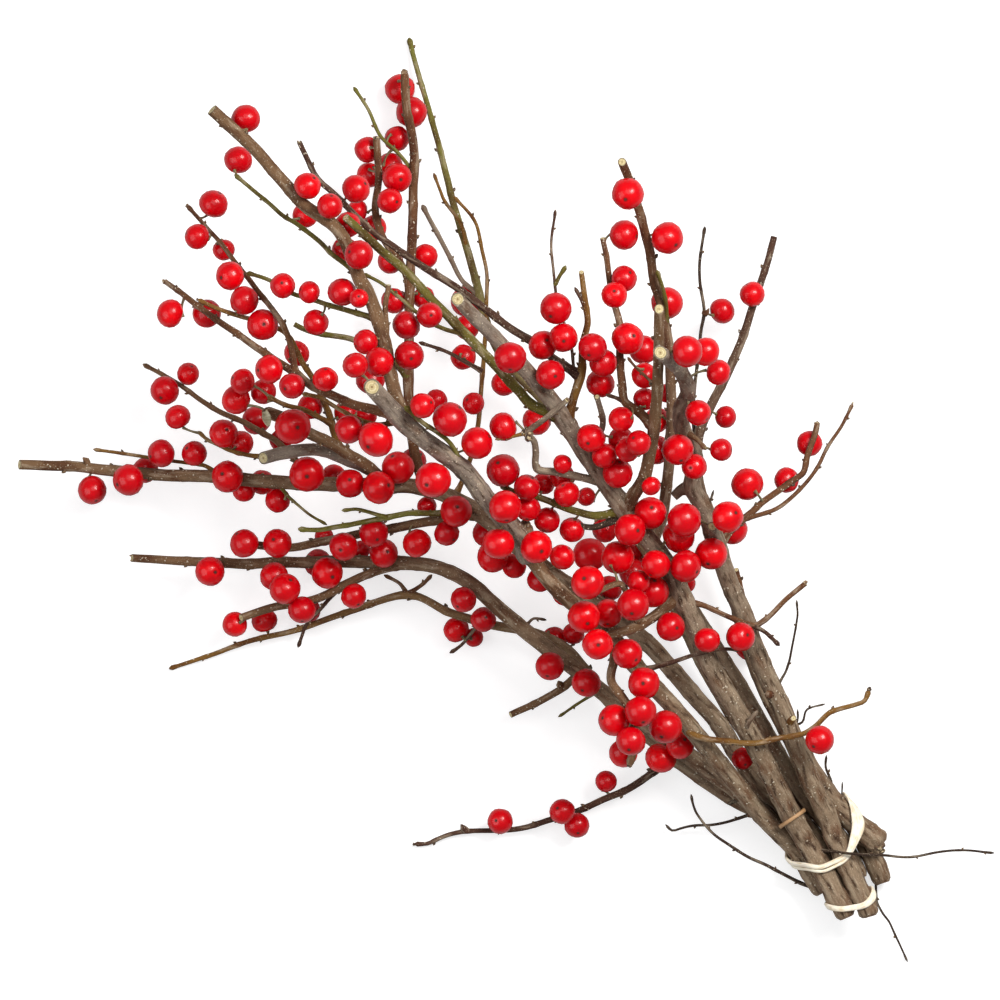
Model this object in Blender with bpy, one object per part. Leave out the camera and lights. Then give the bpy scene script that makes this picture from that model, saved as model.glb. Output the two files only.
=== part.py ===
"""A tied bunch of leafless winterberry holly, lying on a flat surface.

Ten cut stems are held side by side near their butts by two rubber bands. Each stem is one grown piece: its
wood, its side shoots and its berries. Plan places are in millimetres, x to the right and y away along the
surface, and heights are above the surface. Everything is worked out in millimetres and built in metres.
"""

import math

import bmesh
import bpy
import numpy as np

MM = 0.001

# ---- Driving dimensions, in millimetres ----
PLAN_CENTRE = (1.862, 0.110)  # the middle of the bunch's box in plan, which becomes the origin
TIE_LOWER = (107.4, -117.9)  # where the lower band crosses the bundle's axis
TIE_UPPER = (98.4, -102.6)  # where the upper band crosses it
BARK_GAP = 0.55  # room kept between round surfaces that lie against each other
PEDICEL_MOST = 4.0  # the longest berry stalk, from bark to berry
BEAD_STEP = 3.0  # spacing of the points that the shoots are settled with
BAND_THICK = 1.0
BAND_GAP = 0.45
FACET_DROP = 0.1576  # how far the flat facets sit inside the round surfaces that touch the floor
SETTLE_ROUNDS = 300
LINE_SLACK = 0.42  # how far a tube's straight runs may stray from its shoot's curve
SHOOT_LETTERS = "abcdefghi"

WOOD = (0.16, 0.11, 0.075)
BERRY = (0.62, 0.01, 0.012)
RUBBER = (0.78, 0.70, 0.56)

# ---- The cut stems ----
# key: (butt radius, tip radius, how late it thins), then the points (x, y, height) from the cut butt, through
# the tie, to the tip.
# In the tie, three stems lie on four on three, each in the hollow between those under it.
STEMS = {
    "1": ((2.8, 1.2, 1.7), [
        (97.3, -117.2, 4.4), (91.2, -106.9, 4.4), (85, -99.5, 7.5), (79, -93.5, 10.3), (71, -87, 12.5),
        (60, -79, 14.5), (48, -70.5, 16), (35, -61, 18), (24, -52, 19), (12, -43, 20), (0, -33, 21),
        (-9, -25, 21), (-18, -20.5, 20), (-30, -19, 18), (-51, -18.5, 15), (-80, -19, 12), (-97, -18.5, 11),
        (-111, -17.5, 9)]),
    "2": ((2.8, 2.2, 1.7), [
        (97.3, -118.6, 10.6), (90.4, -107.2, 10.6), (84.9, -101.2, 12.9), (79, -95.2, 16.5),
        (74.5, -89.5, 20.8), (70, -84, 25), (65, -78, 30), (60.5, -72.5, 34), (55.5, -66.5, 38), (50, -60, 42),
        (44, -53.5, 45.5), (38, -46.5, 49), (31, -38.5, 53), (21, -30.5, 57), (13, -23, 60), (8.5, -16, 63),
        (6.5, -7.5, 68)]),
    "3": ((3.2, 2.0, 2.2), [
        (105.5, -125.6, 15.7), (93.9, -105.4, 15.7), (91, -100.5, 17), (88, -95.8, 19.5), (82.5, -85, 26),
        (77.5, -75, 32), (72.5, -66, 38), (69, -60, 42), (63.3, -50, 47), (57.5, -36, 53), (50, -20, 59),
        (42, -9, 64), (36, -1, 68), (29, 8.5, 74), (21, 20, 82), (13.5, 31.5, 91), (1, 45.5, 104),
        (-12.5, 59.5, 118)]),
    "4": ((3.1, 2.0, 1.7), [
        (111, -125.6, 15.7), (109, -119.8, 15.7), (101, -101.8, 15.7), (98, -94.5, 17), (92, -81.5, 23),
        (87, -69, 29), (82.3, -57.5, 34), (78.5, -49, 38), (74, -37, 43), (69, -25, 48), (66, -17, 52),
        (63.5, -9, 55), (60.5, -1, 59), (57.5, 4, 62), (58, 13, 67), (54.5, 21, 73), (54, 27, 79),
        (56, 32.5, 88), (53.5, 38.5, 104), (50, 41.5, 120), (47.4, 43.6, 133)]),
    "5": ((4.0, 0.8, 0.8), [
        (114.4, -104.6, 10), (110.4, -101, 10.3), (106.2, -97.3, 10.8), (101, -92, 11.8), (96.4, -85.6, 13.5),
        (93, -79.6, 15.5), (90.3, -74.5, 17.5), (87.4, -69, 19.5), (84.2, -63, 22), (81.2, -57, 24.5),
        (78.5, -51.5, 27), (76.5, -45, 29), (75, -38, 31), (73, -30, 33), (71, -21, 35)]),
    "6": ((2.8, 1.5, 1.7), [
        (107.3, -122.2, 10.3), (96.2, -103.9, 10.3), (92, -98.2, 10.6), (86, -92.8, 11.5), (80.5, -88.4, 12.8),
        (76, -83.5, 14.2), (71.8, -77.5, 16), (67.8, -70.5, 18.5), (63.8, -65, 20.5), (59, -59.5, 22),
        (53, -52.5, 24), (46, -44.5, 26), (40, -39, 27), (33, -33.5, 28.5), (25, -28.5, 30), (16, -22.5, 31),
        (6, -15, 32), (-4, -6, 33), (-14, 0.5, 34), (-25, 4, 34), (-40, 4.5, 33), (-55, 4.8, 31),
        (-70, 5.5, 28), (-85, 7, 24), (-100, 7.5, 20), (-117, 9, 15), (-130, 10.3, 12), (-145, 10.7, 9)]),
    "7": ((2.8, 1.3, 0.45), [
        (105, -105.4, 10.3), (101.8, -100.6, 10.3), (96, -94.4, 11), (91.2, -88.6, 12.3), (85.8, -79.3, 15.6),
        (79, -67.5, 20), (72.5, -56, 24), (66.3, -45.5, 27.5), (60, -36, 30), (54, -27, 32), (48, -19, 35),
        (46, -13, 37), (48, -7, 40), (49.5, 0, 43), (50.5, 8, 46), (51, 16, 49), (51.5, 26, 53), (51, 37, 58),
        (50.3, 48, 64), (48.5, 57, 69), (46, 66, 74), (44.5, 75.5, 80), (42.5, 83, 85), (39.5, 92, 91),
        (36.3, 100.5, 97)]),
    "8": ((2.8, 0.6, 0.8), [
        (106.5, -121.2, 4.3), (96.6, -103.7, 4.3), (90, -98, 4.3), (80, -95, 4.6), (70, -90.5, 5.5),
        (60, -83.5, 6.5), (50, -76, 8), (40, -68, 9), (32, -60, 10), (26, -52, 11), (20, -45, 11),
        (10, -40, 10.5), (-3, -37.5, 10), (-15, -34, 9.5), (-28, -28.5, 9), (-45, -33.5, 7.5),
        (-63, -39.5, 5.5), (-75, -42, 4), (-87, -46.5, 2.5), (-100, -51, 1.2)]),
    "9": ((2.8, 0.7, 0.9), [
        (109.9, -114.2, 4.3), (101.8, -100.6, 4.3), (89, -88, 4.8), (77, -74, 5.5), (68, -61, 6.5),
        (60, -47, 8), (53, -32, 10), (46, -18, 12), (38, -6, 14), (30, 6, 16), (22, 18, 17), (13, 30, 17.5),
        (5, 38, 18), (-1, 46, 18), (-5, 56, 18), (-7, 65, 17), (-10.5, 78, 15), (-15.2, 94, 12),
        (-20.5, 114.5, 8), (-25.5, 131.5, 3), (-27.5, 139.7, 1)]),
    "10": ((3.1, 1.0, 0.8), [
        (115.6, -115.8, 4.4), (106.4, -98, 4.4), (101.6, -92.4, 4.5), (97.2, -87.2, 4.8), (88.3, -73.3, 6.3),
        (80.3, -58, 8), (74.7, -43.8, 10), (70.5, -29, 12), (66, -15, 14), (62, -3, 16), (59.5, 8, 18),
        (60, 20, 20), (63.5, 28.5, 22), (67.5, 36, 22), (72.5, 47.5, 21), (76, 57.5, 18), (79, 66.5, 14),
        (81, 73, 10), (82.8, 79.5, 6)]),
}

# ---- The side shoots ----
# A shoot's key is its parent's key and one letter. Then: radius at the fork and at the tip, height of the
# tip, and the plan points (x, y) it runs through, the first of them beside the fork. A third number is the
# height there; the other heights lie between.
SHOOTS = {
    "1a": (1.35, 1.2, 17, [(-30, -19), (-37, -21.5), (-45, -24.5), (-55, -29.5), (-67, -32), (-78, -35.5)]),
    "1aa": (0.6, 0.5, 4, [(-47, -25.5), (-54, -32.5), (-57.5, -36), (-59.5, -40.5), (-61, -44.5)]),
    "1b": (0.5, 0.35, 3, [(78, -94), (69, -97), (60, -98.5), (52, -100), (50, -98)]),
    "1c": (0.6, 0.35, 16, [(97, -118), (92, -116.5), (85, -113), (71, -105), (63.6, -100), (59, -94),
                           (57.6, -88.7)]),
    "1d": (0.4, 0.35, 15, [(6, -38), (10, -36), (14, -36.2)]),
    "2a": (3.0, 2.5, 108, [(9, -17), (4, -9), (-4, 0), (-11, 9), (-20, 16), (-29, 23.5), (-38, 33.5)]),
    "2aa": (2.1, 1.8, 72, [(-28, 22), (-31, 31), (-34.5, 47), (-38.5, 59.5), (-42, 66), (-48, 80), (-60, 89.5),
                           (-72, 103.5), (-86, 116.5)]),
    "2aaa": (0.8, 0.6, 52, [(-41, 63), (-44.5, 69), (-49, 73), (-59, 81.5), (-66.5, 86.7), (-79.5, 97.5)]),
    "2aab": (0.9, 0.6, 58, [(-36, 53), (-47, 57), (-54, 59), (-61, 61.3), (-69.5, 65.7), (-76, 68)]),
    "2aac": (0.9, 0.8, 88, [(-34, 45), (-33.9, 55.5), (-33.2, 64)]),
    "2ab": (1.5, 0.8, 38, [(-31, 25), (-38, 27), (-46, 29.5), (-54, 33), (-61, 37.5), (-71.5, 44.8),
                           (-78, 49.2), (-85, 54), (-92.5, 59.5), (-100.7, 65.7)]),
    "2aba": (1.0, 0.6, 34, [(-58, 41), (-64.5, 51), (-73.5, 63.6), (-79.5, 71), (-84, 77), (-89, 82.5),
                            (-94, 88.5)]),
    "2ac": (0.8, 0.6, 70, [(-31, 21), (-36, 22.5), (-43, 24.5), (-49, 27.5), (-54, 30.5), (-59, 31.7)]),
    "2ad": (0.7, 0.7, 106, [(-11, 9), (-14.5, 16), (-18.5, 19.5), (-24, 24), (-28.2, 27.8)]),
    "2b": (1.4, 1.2, 47, [(34, -37), (34, -46), (33, -54), (37.5, -61), (41, -70), (38.8, -79.5)]),
    "2c": (1.0, 0.7, 36, [(55.5, -66.8), (57.5, -70), (61.2, -71.3, 39), (64.8, -72, 39.5), (72, -72.9, 39.5),
                          (79.2, -72.4, 39.5), (87, -71.3), (91, -70), (95, -67.5), (99, -63.7), (105, -62),
                          (109.5, -60.3), (111, -57)]),
    "2d": (0.8, 0.5, 53, [(45, -47), (52, -48.5, 52), (59.5, -46, 55.5), (66, -44.5, 55), (72, -45)]),
    "3a": (2.0, 1.5, 126, [(37, -3), (40, 2), (42.8, 6.5), (45, 16), (46.2, 26), (47, 38), (47.1, 56.5)]),
    "3aa": (1.4, 0.8, 84, [(46, 21), (41, 26.5), (37, 29.5), (36.3, 35), (35.5, 42), (35.6, 52), (34.3, 57),
                           (32.5, 64.5), (31.5, 73), (30.6, 78)]),
    "3ab": (0.45, 0.4, 92, [(46.5, 34), (41, 38.5), (38, 42.5)]),
    "3b": (1.35, 0.8, 92, [(38, 0), (34, 3.5), (28.5, 6), (23.5, 7.2), (16, 8.7), (11, 9.5), (10.7, 14),
                           (10.2, 17.5), (8, 20), (14, 24.5), (20, 29.8)]),
    "3c": (1.3, 0.8, 67, [(36, -3), (29, -4.7), (21, -3), (15, -0.5), (11, 1), (4.5, 2.5), (0, 5)]),
    "3d": (1.6, 1.2, 86, [(17, 25), (9.5, 28), (6, 32), (-3.5, 42), (-12.5, 51.5), (-21, 60.5), (-30, 70),
                          (-36, 75), (-46, 84.2)]),
    "3da": (0.7, 0.5, 84, [(-10, 48), (-19, 52), (-28, 58.5), (-35.5, 64.5), (-41, 67.5)]),
    "3e": (1.4, 0.8, 96, [(19, 23), (21.5, 28), (23, 34), (24.3, 40), (25, 48), (26, 53), (25.5, 58),
                          (24.2, 67.7)]),
    "3ea": (1.3, 0.8, 62, [(23.5, 37), (16, 42), (9, 47), (2.5, 51.5), (-3, 55.5), (-14, 64), (-22, 69),
                           (-32, 75.5), (-38.5, 80.5), (-48.7, 90.5), (-55, 96.5), (-60, 107)]),
    "3eb": (0.5, 0.4, 88, [(23, 35), (21.5, 40), (20.5, 48), (17.5, 57), (16, 66), (15.5, 74), (16.5, 86.5)]),
    "3f": (1.8, 1.3, 60, [(58, -31), (52, -30), (47, -34), (42, -37.5), (36, -39.5), (30, -41)]),
    "3fa": (1.0, 0.9, 72, [(41, -38), (39, -31), (36, -25), (28.5, -27.7)]),
    "3g": (0.8, 0.8, 50, [(57, -29.5), (60.5, -31.5), (66, -34), (72, -36.5), (76, -37.7), (80.5, -35),
                          (86, -29.7), (91.5, -25)]),
    "3ga": (0.6, 0.6, 47, [(76, -38), (79.5, -39.7), (83.8, -43.7)]),
    "3i": (0.45, 0.35, 17, [(93.5, -104.5), (99.5, -106, 18.5), (103, -106.4, 21.2), (106, -106.6, 21.6),
                            (110, -106.8, 20), (115.5, -107, 18.5), (123, -107.4), (137, -105.8),
                            (149, -106.4)]),
    "3h": (1.1, 0.8, 86, [(27, 13), (29.5, 19), (30.7, 23), (29, 31)]),
    "4a": (1.0, 0.9, 40, [(66, -15), (70, -9), (73.5, -5.5), (78, -1), (82, 2), (87, 5.5), (91.2, 8.3),
                          (92.5, 12.5), (94.5, 18.5), (95.2, 23.2)]),
    "4aa": (0.7, 0.5, 24, [(74, -5), (79.5, -4), (84.5, -1.7), (90.5, 3.5), (95, 9), (98.5, 15.5), (103, 22.5),
                           (106.2, 29)]),
    "4b": (1.5, 1.4, 74, [(63.6, -11), (63.6, -9.5), (63.3, -7.9)]),
    "4c": (1.5, 1.4, 58, [(57.5, 5), (54, 2.5), (52, 1)]),
    "4d": (0.8, 0.6, 76, [(54.7, 21.5), (57.5, 19), (59.5, 17.3), (61.5, 15)]),
    "4e": (0.4, 0.3, 45, [(82.5, -58), (85, -53), (87, -48), (89.2, -34), (89, -30)]),
    "5a": (0.5, 0.3, 13, [(103, -88), (99.6, -85.5), (98, -80.5), (98.4, -77)]),
    "6a": (1.1, 0.6, 13, [(-57, 4), (-61, 11), (-67, 17.5), (-71, 20), (-78, 24), (-84, 26.5), (-91.5, 31),
                          (-96.5, 34.5), (-107.7, 41)]),
    "6b": (1.8, 1.9, 44, [(-33, 5), (-39, 9), (-45, 12), (-52, 14.5), (-58, 15), (-64.5, 14.3), (-71, 12.6)]),
    "6ba": (1.1, 0.6, 62, [(-46, 12.5), (-49, 18), (-50.8, 23), (-53, 29), (-55.5, 35.5), (-59, 41),
                           (-61.5, 46), (-64.7, 50.5), (-71.5, 53.5), (-79, 55.3), (-84.5, 57), (-90.5, 60)]),
    "6baa": (0.8, 0.7, 60, [(-51, 24), (-57, 26.5), (-64, 28.5), (-69.5, 31)]),
    "6bb": (0.8, 0.5, 30, [(-66, 14), (-72.5, 13.3), (-78.5, 14), (-84, 15.7), (-88, 17.8), (-90.7, 20.7)]),
    "6c": (1.6, 1.3, 15, [(-22, 3.5), (-25, 12), (-27, 24), (-27.3, 40), (-27.2, 60), (-26.5, 78), (-26, 92),
                          (-25.8, 105), (-28, 117), (-28.8, 129)]),
    "6ca": (1.0, 0.8, 14, [(-27, 36), (-34, 44), (-44, 48), (-56.5, 50.5), (-62, 53)]),
    "6cb": (1.1, 1.1, 24, [(-27, 66), (-31, 73), (-35.5, 80), (-37.5, 89), (-36.8, 97), (-37.2, 109)]),
    "6cc": (0.6, 0.5, 9, [(-26, 97), (-30, 103), (-35.5, 109), (-40, 118), (-44.2, 124.7)]),
    "6d": (1.5, 1.2, 22, [(-6, -4), (-12, -4.5), (-20, -6.3), (-33, -8.5), (-52, -12), (-63, -14.3),
                          (-74, -13.5)]),
    "6e": (1.0, 0.7, 38, [(-10, -2), (-20, -3.8), (-27.5, -4), (-34, -5.5), (-43.5, -7), (-49, -8.5),
                          (-54, -9.5), (-60.7, -8.7)]),
    "6ea": (0.6, 0.5, 42, [(-35, -5.7), (-40, -3.7), (-43, -3), (-47.5, -3.2)]),
    "6f": (0.5, 0.4, 32, [(-67, 5), (-63, 1), (-57, -4), (-52, -7.5)]),
    "6g": (0.8, 0.5, 22, [(-15, 1.5), (-10, 8), (-6.8, 20), (-5.5, 35), (-4.6, 45), (-4, 58), (-4.4, 70),
                          (-7, 83), (-14, 91.5)]),
    "6ga": (0.7, 0.5, 26, [(-5.3, 37), (-14, 43.5), (-19, 45.5), (-24.5, 47.5)]),
    "6h": (0.6, 0.5, 13, [(-84, 7), (-89, 10.5), (-101, 12), (-112, 13.7), (-122.7, 15.3)]),
    "6i": (1.6, 1.9, 58, [(-33, 4), (-40, 10.5), (-49.5, 16), (-57, 20), (-64, 24), (-70.3, 26.5)]),
    "7a": (0.7, 0.6, 79, [(50.4, 47), (49.8, 54), (49.4, 59), (48.4, 63.5), (46.8, 68.5)]),
    "8a": (1.2, 0.6, 1, [(53, -78), (45, -83), (39, -87), (27, -92.5), (15, -96.7), (3.5, -99.5), (-12, -100.5),
                         (-22, -104), (-26, -104)]),
    "8b": (1.2, 1.0, 7, [(25, -51), (22, -54), (18.5, -57), (14, -59.5), (9, -62), (3.2, -64.8)]),
    "8c": (0.5, 0.4, 4, [(30, -58), (24.5, -61.5), (17.6, -65.5)]),
    "8d": (0.7, 0.5, 14, [(-28, -28.5), (-23.5, -25.5), (-20.5, -22.5)]),
    "8e": (0.6, 0.5, 13, [(-27, -28), (-30.5, -25), (-35, -22.6)]),
    "8f": (0.5, 0.5, 5, [(-7, -37), (-11.5, -43.5), (-15.2, -46.2)]),
    "9a": (0.75, 0.7, 14, [(-7.5, 62), (-11, 66), (-14, 71), (-17.5, 77.5), (-20.5, 83), (-23.5, 89)]),
    "10a": (0.6, 0.45, 14, [(59.6, 10), (58.4, 20), (58.6, 34), (60.7, 48.7), (61.4, 56.5), (60, 66),
                            (60.2, 73), (61.8, 82.5)]),
    "10b": (0.4, 0.3, 1, [(107.6, -113), (113.5, -122), (117, -127.4), (120, -133), (123.2, -139.6)]),
}

# ---- The berries: (x, y, diameter), each growing from the shoot nearest to it, or from the shoot named ----
BERRIES_OVER = [
    (-86, 89, 9), (-91, 79, 8), (-81, 67, 9), (-76, 59, 9), (-65, 64, 8), (-57, 62, 7), (-57.3, 93.7, 8.5),
    (-50.7, 87.6, 8), (-43, 93, 9), (-47, 62, 9), (-42, 73, 9), (-31, 97, 9.4), (-33, 90, 8), (-99, 56, 9),
    (-71, 53.8, 9.8), (-55, 53, 8), (-42, 60, 6), (-69, 39, 9), (-62, 34, 8), (-52, 36, 8), (-78, 36, 8),
    (-79, 30, 9), (-94, 38, 7), (-101, 33, 9), (-97, 25, 8), (-83, 20, 9), (-62, 22, 11), (-102, 14, 9),
    (-92, 14, 8), (-112, 6, 10), (-123, 3, 9), (-82, 7, 10), (-58, 8, 11), (-45, 5, 9), (-45, 21, 9),
    (-21, 55, 8), (-28, 52, 9), (-27, 43, 9), (-40, 47, 8), (-36, 41, 9), (-43, 40, 8), (3, 42, 10),
    (13, 46, 9), (17, 55, 10), (18, 49, 9), (15, 37, 9), (-23, 28, 8), (-15, 24, 11), (-8, 29, 7), (-7, 17, 10),
    (1, 22, 9), (1, 9, 10.4), (-31, 9, 10.4), (-37, 18, 11), (-20, 6, 11), (-36, 4, 10.4), (8, 4, 8.4),
    (38, 91, 10), (37, 79, 9), (50, 78, 10), (37, 66, 8), (34, 61, 8), (28, 45, 9), (31, 41, 9), (38, 48, 10),
    (30, 35, 9), (55, 44, 10), (61, 44, 9), (65, 38, 8), (67, 57, 8), (76, 62, 8), (59, 26, 8), (68, 25, 7),
    (66, 15, 7), (53, 15, 10), (58, 10, 8), (27, 18, 9), (36, 24, 8), (36, 18, 8), (41, 17, 8), (31, 13, 8),
    (34.3, 8, 9.4), (7.8, -2.8, 8), (19, 11, 6), (20, 2, 8), (45, 4, 6), (44, -4, 10), (55, -6, 10.8), (53.2, -11.2, 10.4),
    (55.4, -19.4, 10), (46.6, -20, 9), (63, -14.8, 10), (68, -5, 10), (74.1, 4.8, 10.2), (1.2, -2, 10.4),
    (14, -6, 8), (-1, -13, 10), (10, -14, 10), (18, -17, 8), (-13.2, -3.4, 10), (-16, -10, 8), (-25, -13, 9),
    (-38, -9, 9), (-35, -16, 9), (-47, -14, 9), (27, -16.4, 10.6), (35.2, -17.2, 10.4), (39, -9, 10),
    (26.2, -24.6, 10.4), (25, -35, 10), (32, -34, 9), (40, -31, 10), (46, -27, 10), (41.6, -24.6, 7.4), (51, -38, 9),
    (62, -42, 8), (72, -41, 9), (29, -43, 9.6), (38, -46, 9.4), (15, -50, 9), (26, -55, 9), (43, -55, 10),
    (35, -66, 10), (42, -64, 10), (49.6, -68, 10.6), (39, -71, 9.4), (49, -77, 10, "1"), (54, -74, 9, "1"),
    (-77, -13, 9), (-67, -13, 9), (-87.4, -21.5, 9.4), (-68, -23, 9), (-64.6, -26.4, 9.8),
    (-52, -22, 10), (-60, -32.6, 8.6), (-44, -29, 8), (-11, -30, 8), (-5, -36, 8), (19, -94, 8), (23, -98, 8),
    (32, -85, 7), (96, -72, 9), (73, -78, 7, "6"),
]
BERRIES_UNDER = [
    (-83, 75, 7), (-58.2, 85.2, 8), (-43, 87, 7), (-45.6, 81.5, 8), (-47, 75.2, 8), (-30.2, 123.5, 9.5),
    (-27, 117.3, 9.8), (-33, 101, 8), (-88, 56, 9), (-61, 44, 8), (-78, 17, 8), (-66, 18, 7), (-57, 28, 8),
    (-107, 9, 8), (-72, 5, 8), (-77, 3, 7), (-67, 0, 8), (-50, 7, 8), (-46, 26, 8), (-32, 60, 8), (-23, 61, 7),
    (-39, 36, 9), (-10, 60, 10), (-10, 52, 8), (-11, 43, 8), (1, 35, 8), (-19, 30, 7), (-26, 12, 8),
    (-40, 25, 7), (50, 59, 10), (43, 45, 9), (43, 37, 8), (43, 30, 7), (50, 32, 6), (47, 24, 8), (47, 15, 9),
    (38, 15, 8), (19, 7, 8), (26, 1, 6), (13, 5, 7), (70, -9, 9), (86, 6, 8), (93, 17, 8), (21.5, -9, 8),
    (-4, -10, 9), (-2, -17, 10), (4, -20, 8), (41, -15, 9), (40, -22, 9), (33, -26.5, 8), (19.5, -28, 8), (31.5, -9, 8), (-42, -15, 6),
    (-53, -11, 6), (-22, -2, 6), (55, -31, 7), (56, -25, 6), (75, -44.6, 8), (16.5, -42, 8), (22, -40.5, 7),
    (37, -76, 9), (-58, -34, 8), (-12, -40, 8), (-9, -41, 6), (0, -97, 8), (-55, -19, 9), (-76, 114, 9),
    (-78.5, 102, 9), (-38, 82, 8), (-40, 105.5, 8), (-39.5, 98, 8), (-31, 109, 8), (-33, 72, 8),
    (-22.5, 73.5, 8), (-80, -37.5, 8), (-71, -37, 8), (11, 23.7, 9), (-73.5, 24, 9), (-71, 32.5, 8), (12, -24, 8),
]

# ---- The rubber bands ----
# name: the marks it runs through, each (the stem it lies on, angle round that stem from its right side,
# distance past TIE_UPPER along the bundle, width). From one stem to the next it runs straight.
BANDS = {
    "rubber_band_lower": [
        ("4", -22, -19.4, 2.0), ("4", 0, -19.9, 2.0), ("4", 90, -22.8, 2.2), ("3", 90, -20.2, 2.2),
        ("3", 150, -17.5, 2.0), ("3", 196, -16.8, 2.0), ("8", 196, -17.2, 2.0), ("8", 270, -18.4, 2.0),
        ("8", 338, -19.0, 2.0)],
    "rubber_band_upper": [
        ("5", -22, 8.8, 2.4), ("5", 0, 8.4, 2.8), ("5", 90, -1.5, 3.8), ("4", 56, -6.8, 2.6),
        ("4", 90, -7.4, 2.2), ("3", 90, -6.8, 2.2), ("3", 145, -4.0, 2.2), ("2", 145, -1.6, 2.3),
        ("2", 187, 0.5, 2.4), ("1", 187, 1.4, 2.4), ("1", 270, 3.6, 2.4), ("8", 270, 4.8, 2.4),
        ("9", 270, 6.2, 2.4), ("10", 270, 7.4, 2.4), ("10", 338, 8.6, 2.4)],
    "rubber_band_strand": [
        ("3", 0, 11.4, 1.4), ("3", 90, 11.0, 1.4), ("3", 180, 10.6, 1.4), ("3", 270, 11.0, 1.4)],
}
TURN_STEP = 18  # degrees between a band's points where it goes round a stem

# ---- Directions of the tied bundle ----
AXIS = np.array([TIE_UPPER[0] - TIE_LOWER[0], TIE_UPPER[1] - TIE_LOWER[1], 0.0])
TIE_SPAN = float(np.linalg.norm(AXIS))
AXIS /= TIE_SPAN
ACROSS = np.array([AXIS[1], -AXIS[0], 0.0])
UP = np.array([0.0, 0.0, 1.0])


def parent_of(key):
    """The shoot that this one grows from: its key without the last letter."""
    return key[:-1] if key[-1] in SHOOT_LETTERS else None


def smooth_curve(points, step):
    """Points about a step apart along a Catmull-Rom curve through the given points."""
    points = np.array(points, float)
    ends = np.vstack([2 * points[0] - points[1], points, 2 * points[-1] - points[-2]])
    found = []
    for before, start, end, after in zip(ends, ends[1:], ends[2:], ends[3:]):
        pieces = max(1, round(float(np.linalg.norm(end - start)) / step))
        for t in np.arange(pieces) / pieces:
            found.append(0.5 * (2 * start + (end - before) * t
                                + (2 * before - 5 * start + 4 * end - after) * t ** 2
                                + (3 * start - before - 3 * end + after) * t ** 3))
    return np.vstack([found, points[-1:]])


def lengths_along(points):
    """How far along its line each point lies."""
    steps = np.linalg.norm(np.diff(points, axis=0), axis=1)
    return np.concatenate([[0.0], np.cumsum(steps)])


def tapered(points, start_radius, end_radius, power):
    """A radius for each point: it falls slowly at first and faster towards the tip."""
    along = lengths_along(points)
    return end_radius + (start_radius - end_radius) * (1 - (along / along[-1]) ** power)


def main_shoots():
    """Each stem's main shoot: its points, radii, and no parent."""
    shoots = {}
    for key, (radii, run) in STEMS.items():
        points = smooth_curve(run, BEAD_STEP)
        shoots[key] = [points, tapered(points, *radii), None]
    return shoots


def add_side_shoots(shoots):
    """Adds each side shoot, its first point on its parent's own line."""
    for key, (start_radius, end_radius, tip_height, plan) in SHOOTS.items():
        trunk = shoots[parent_of(key)][0]
        fork = int(np.argmin(np.linalg.norm(trunk[:, :2] - plan[0], axis=1)))
        flat = np.array([trunk[fork][:2], *(place[:2] for place in plan[1:])], float)
        along = lengths_along(flat)
        known = {0: trunk[fork][2], len(plan) - 1: tip_height}
        known.update({number: place[2] for number, place in enumerate(plan) if len(place) == 3})
        given = sorted(known)
        heights = np.interp(along, along[given], [known[number] for number in given])
        points = smooth_curve(np.column_stack([flat, heights]), BEAD_STEP)
        shoots[key] = [points, tapered(points, start_radius, end_radius, 1.0), fork]
    return shoots


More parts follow.
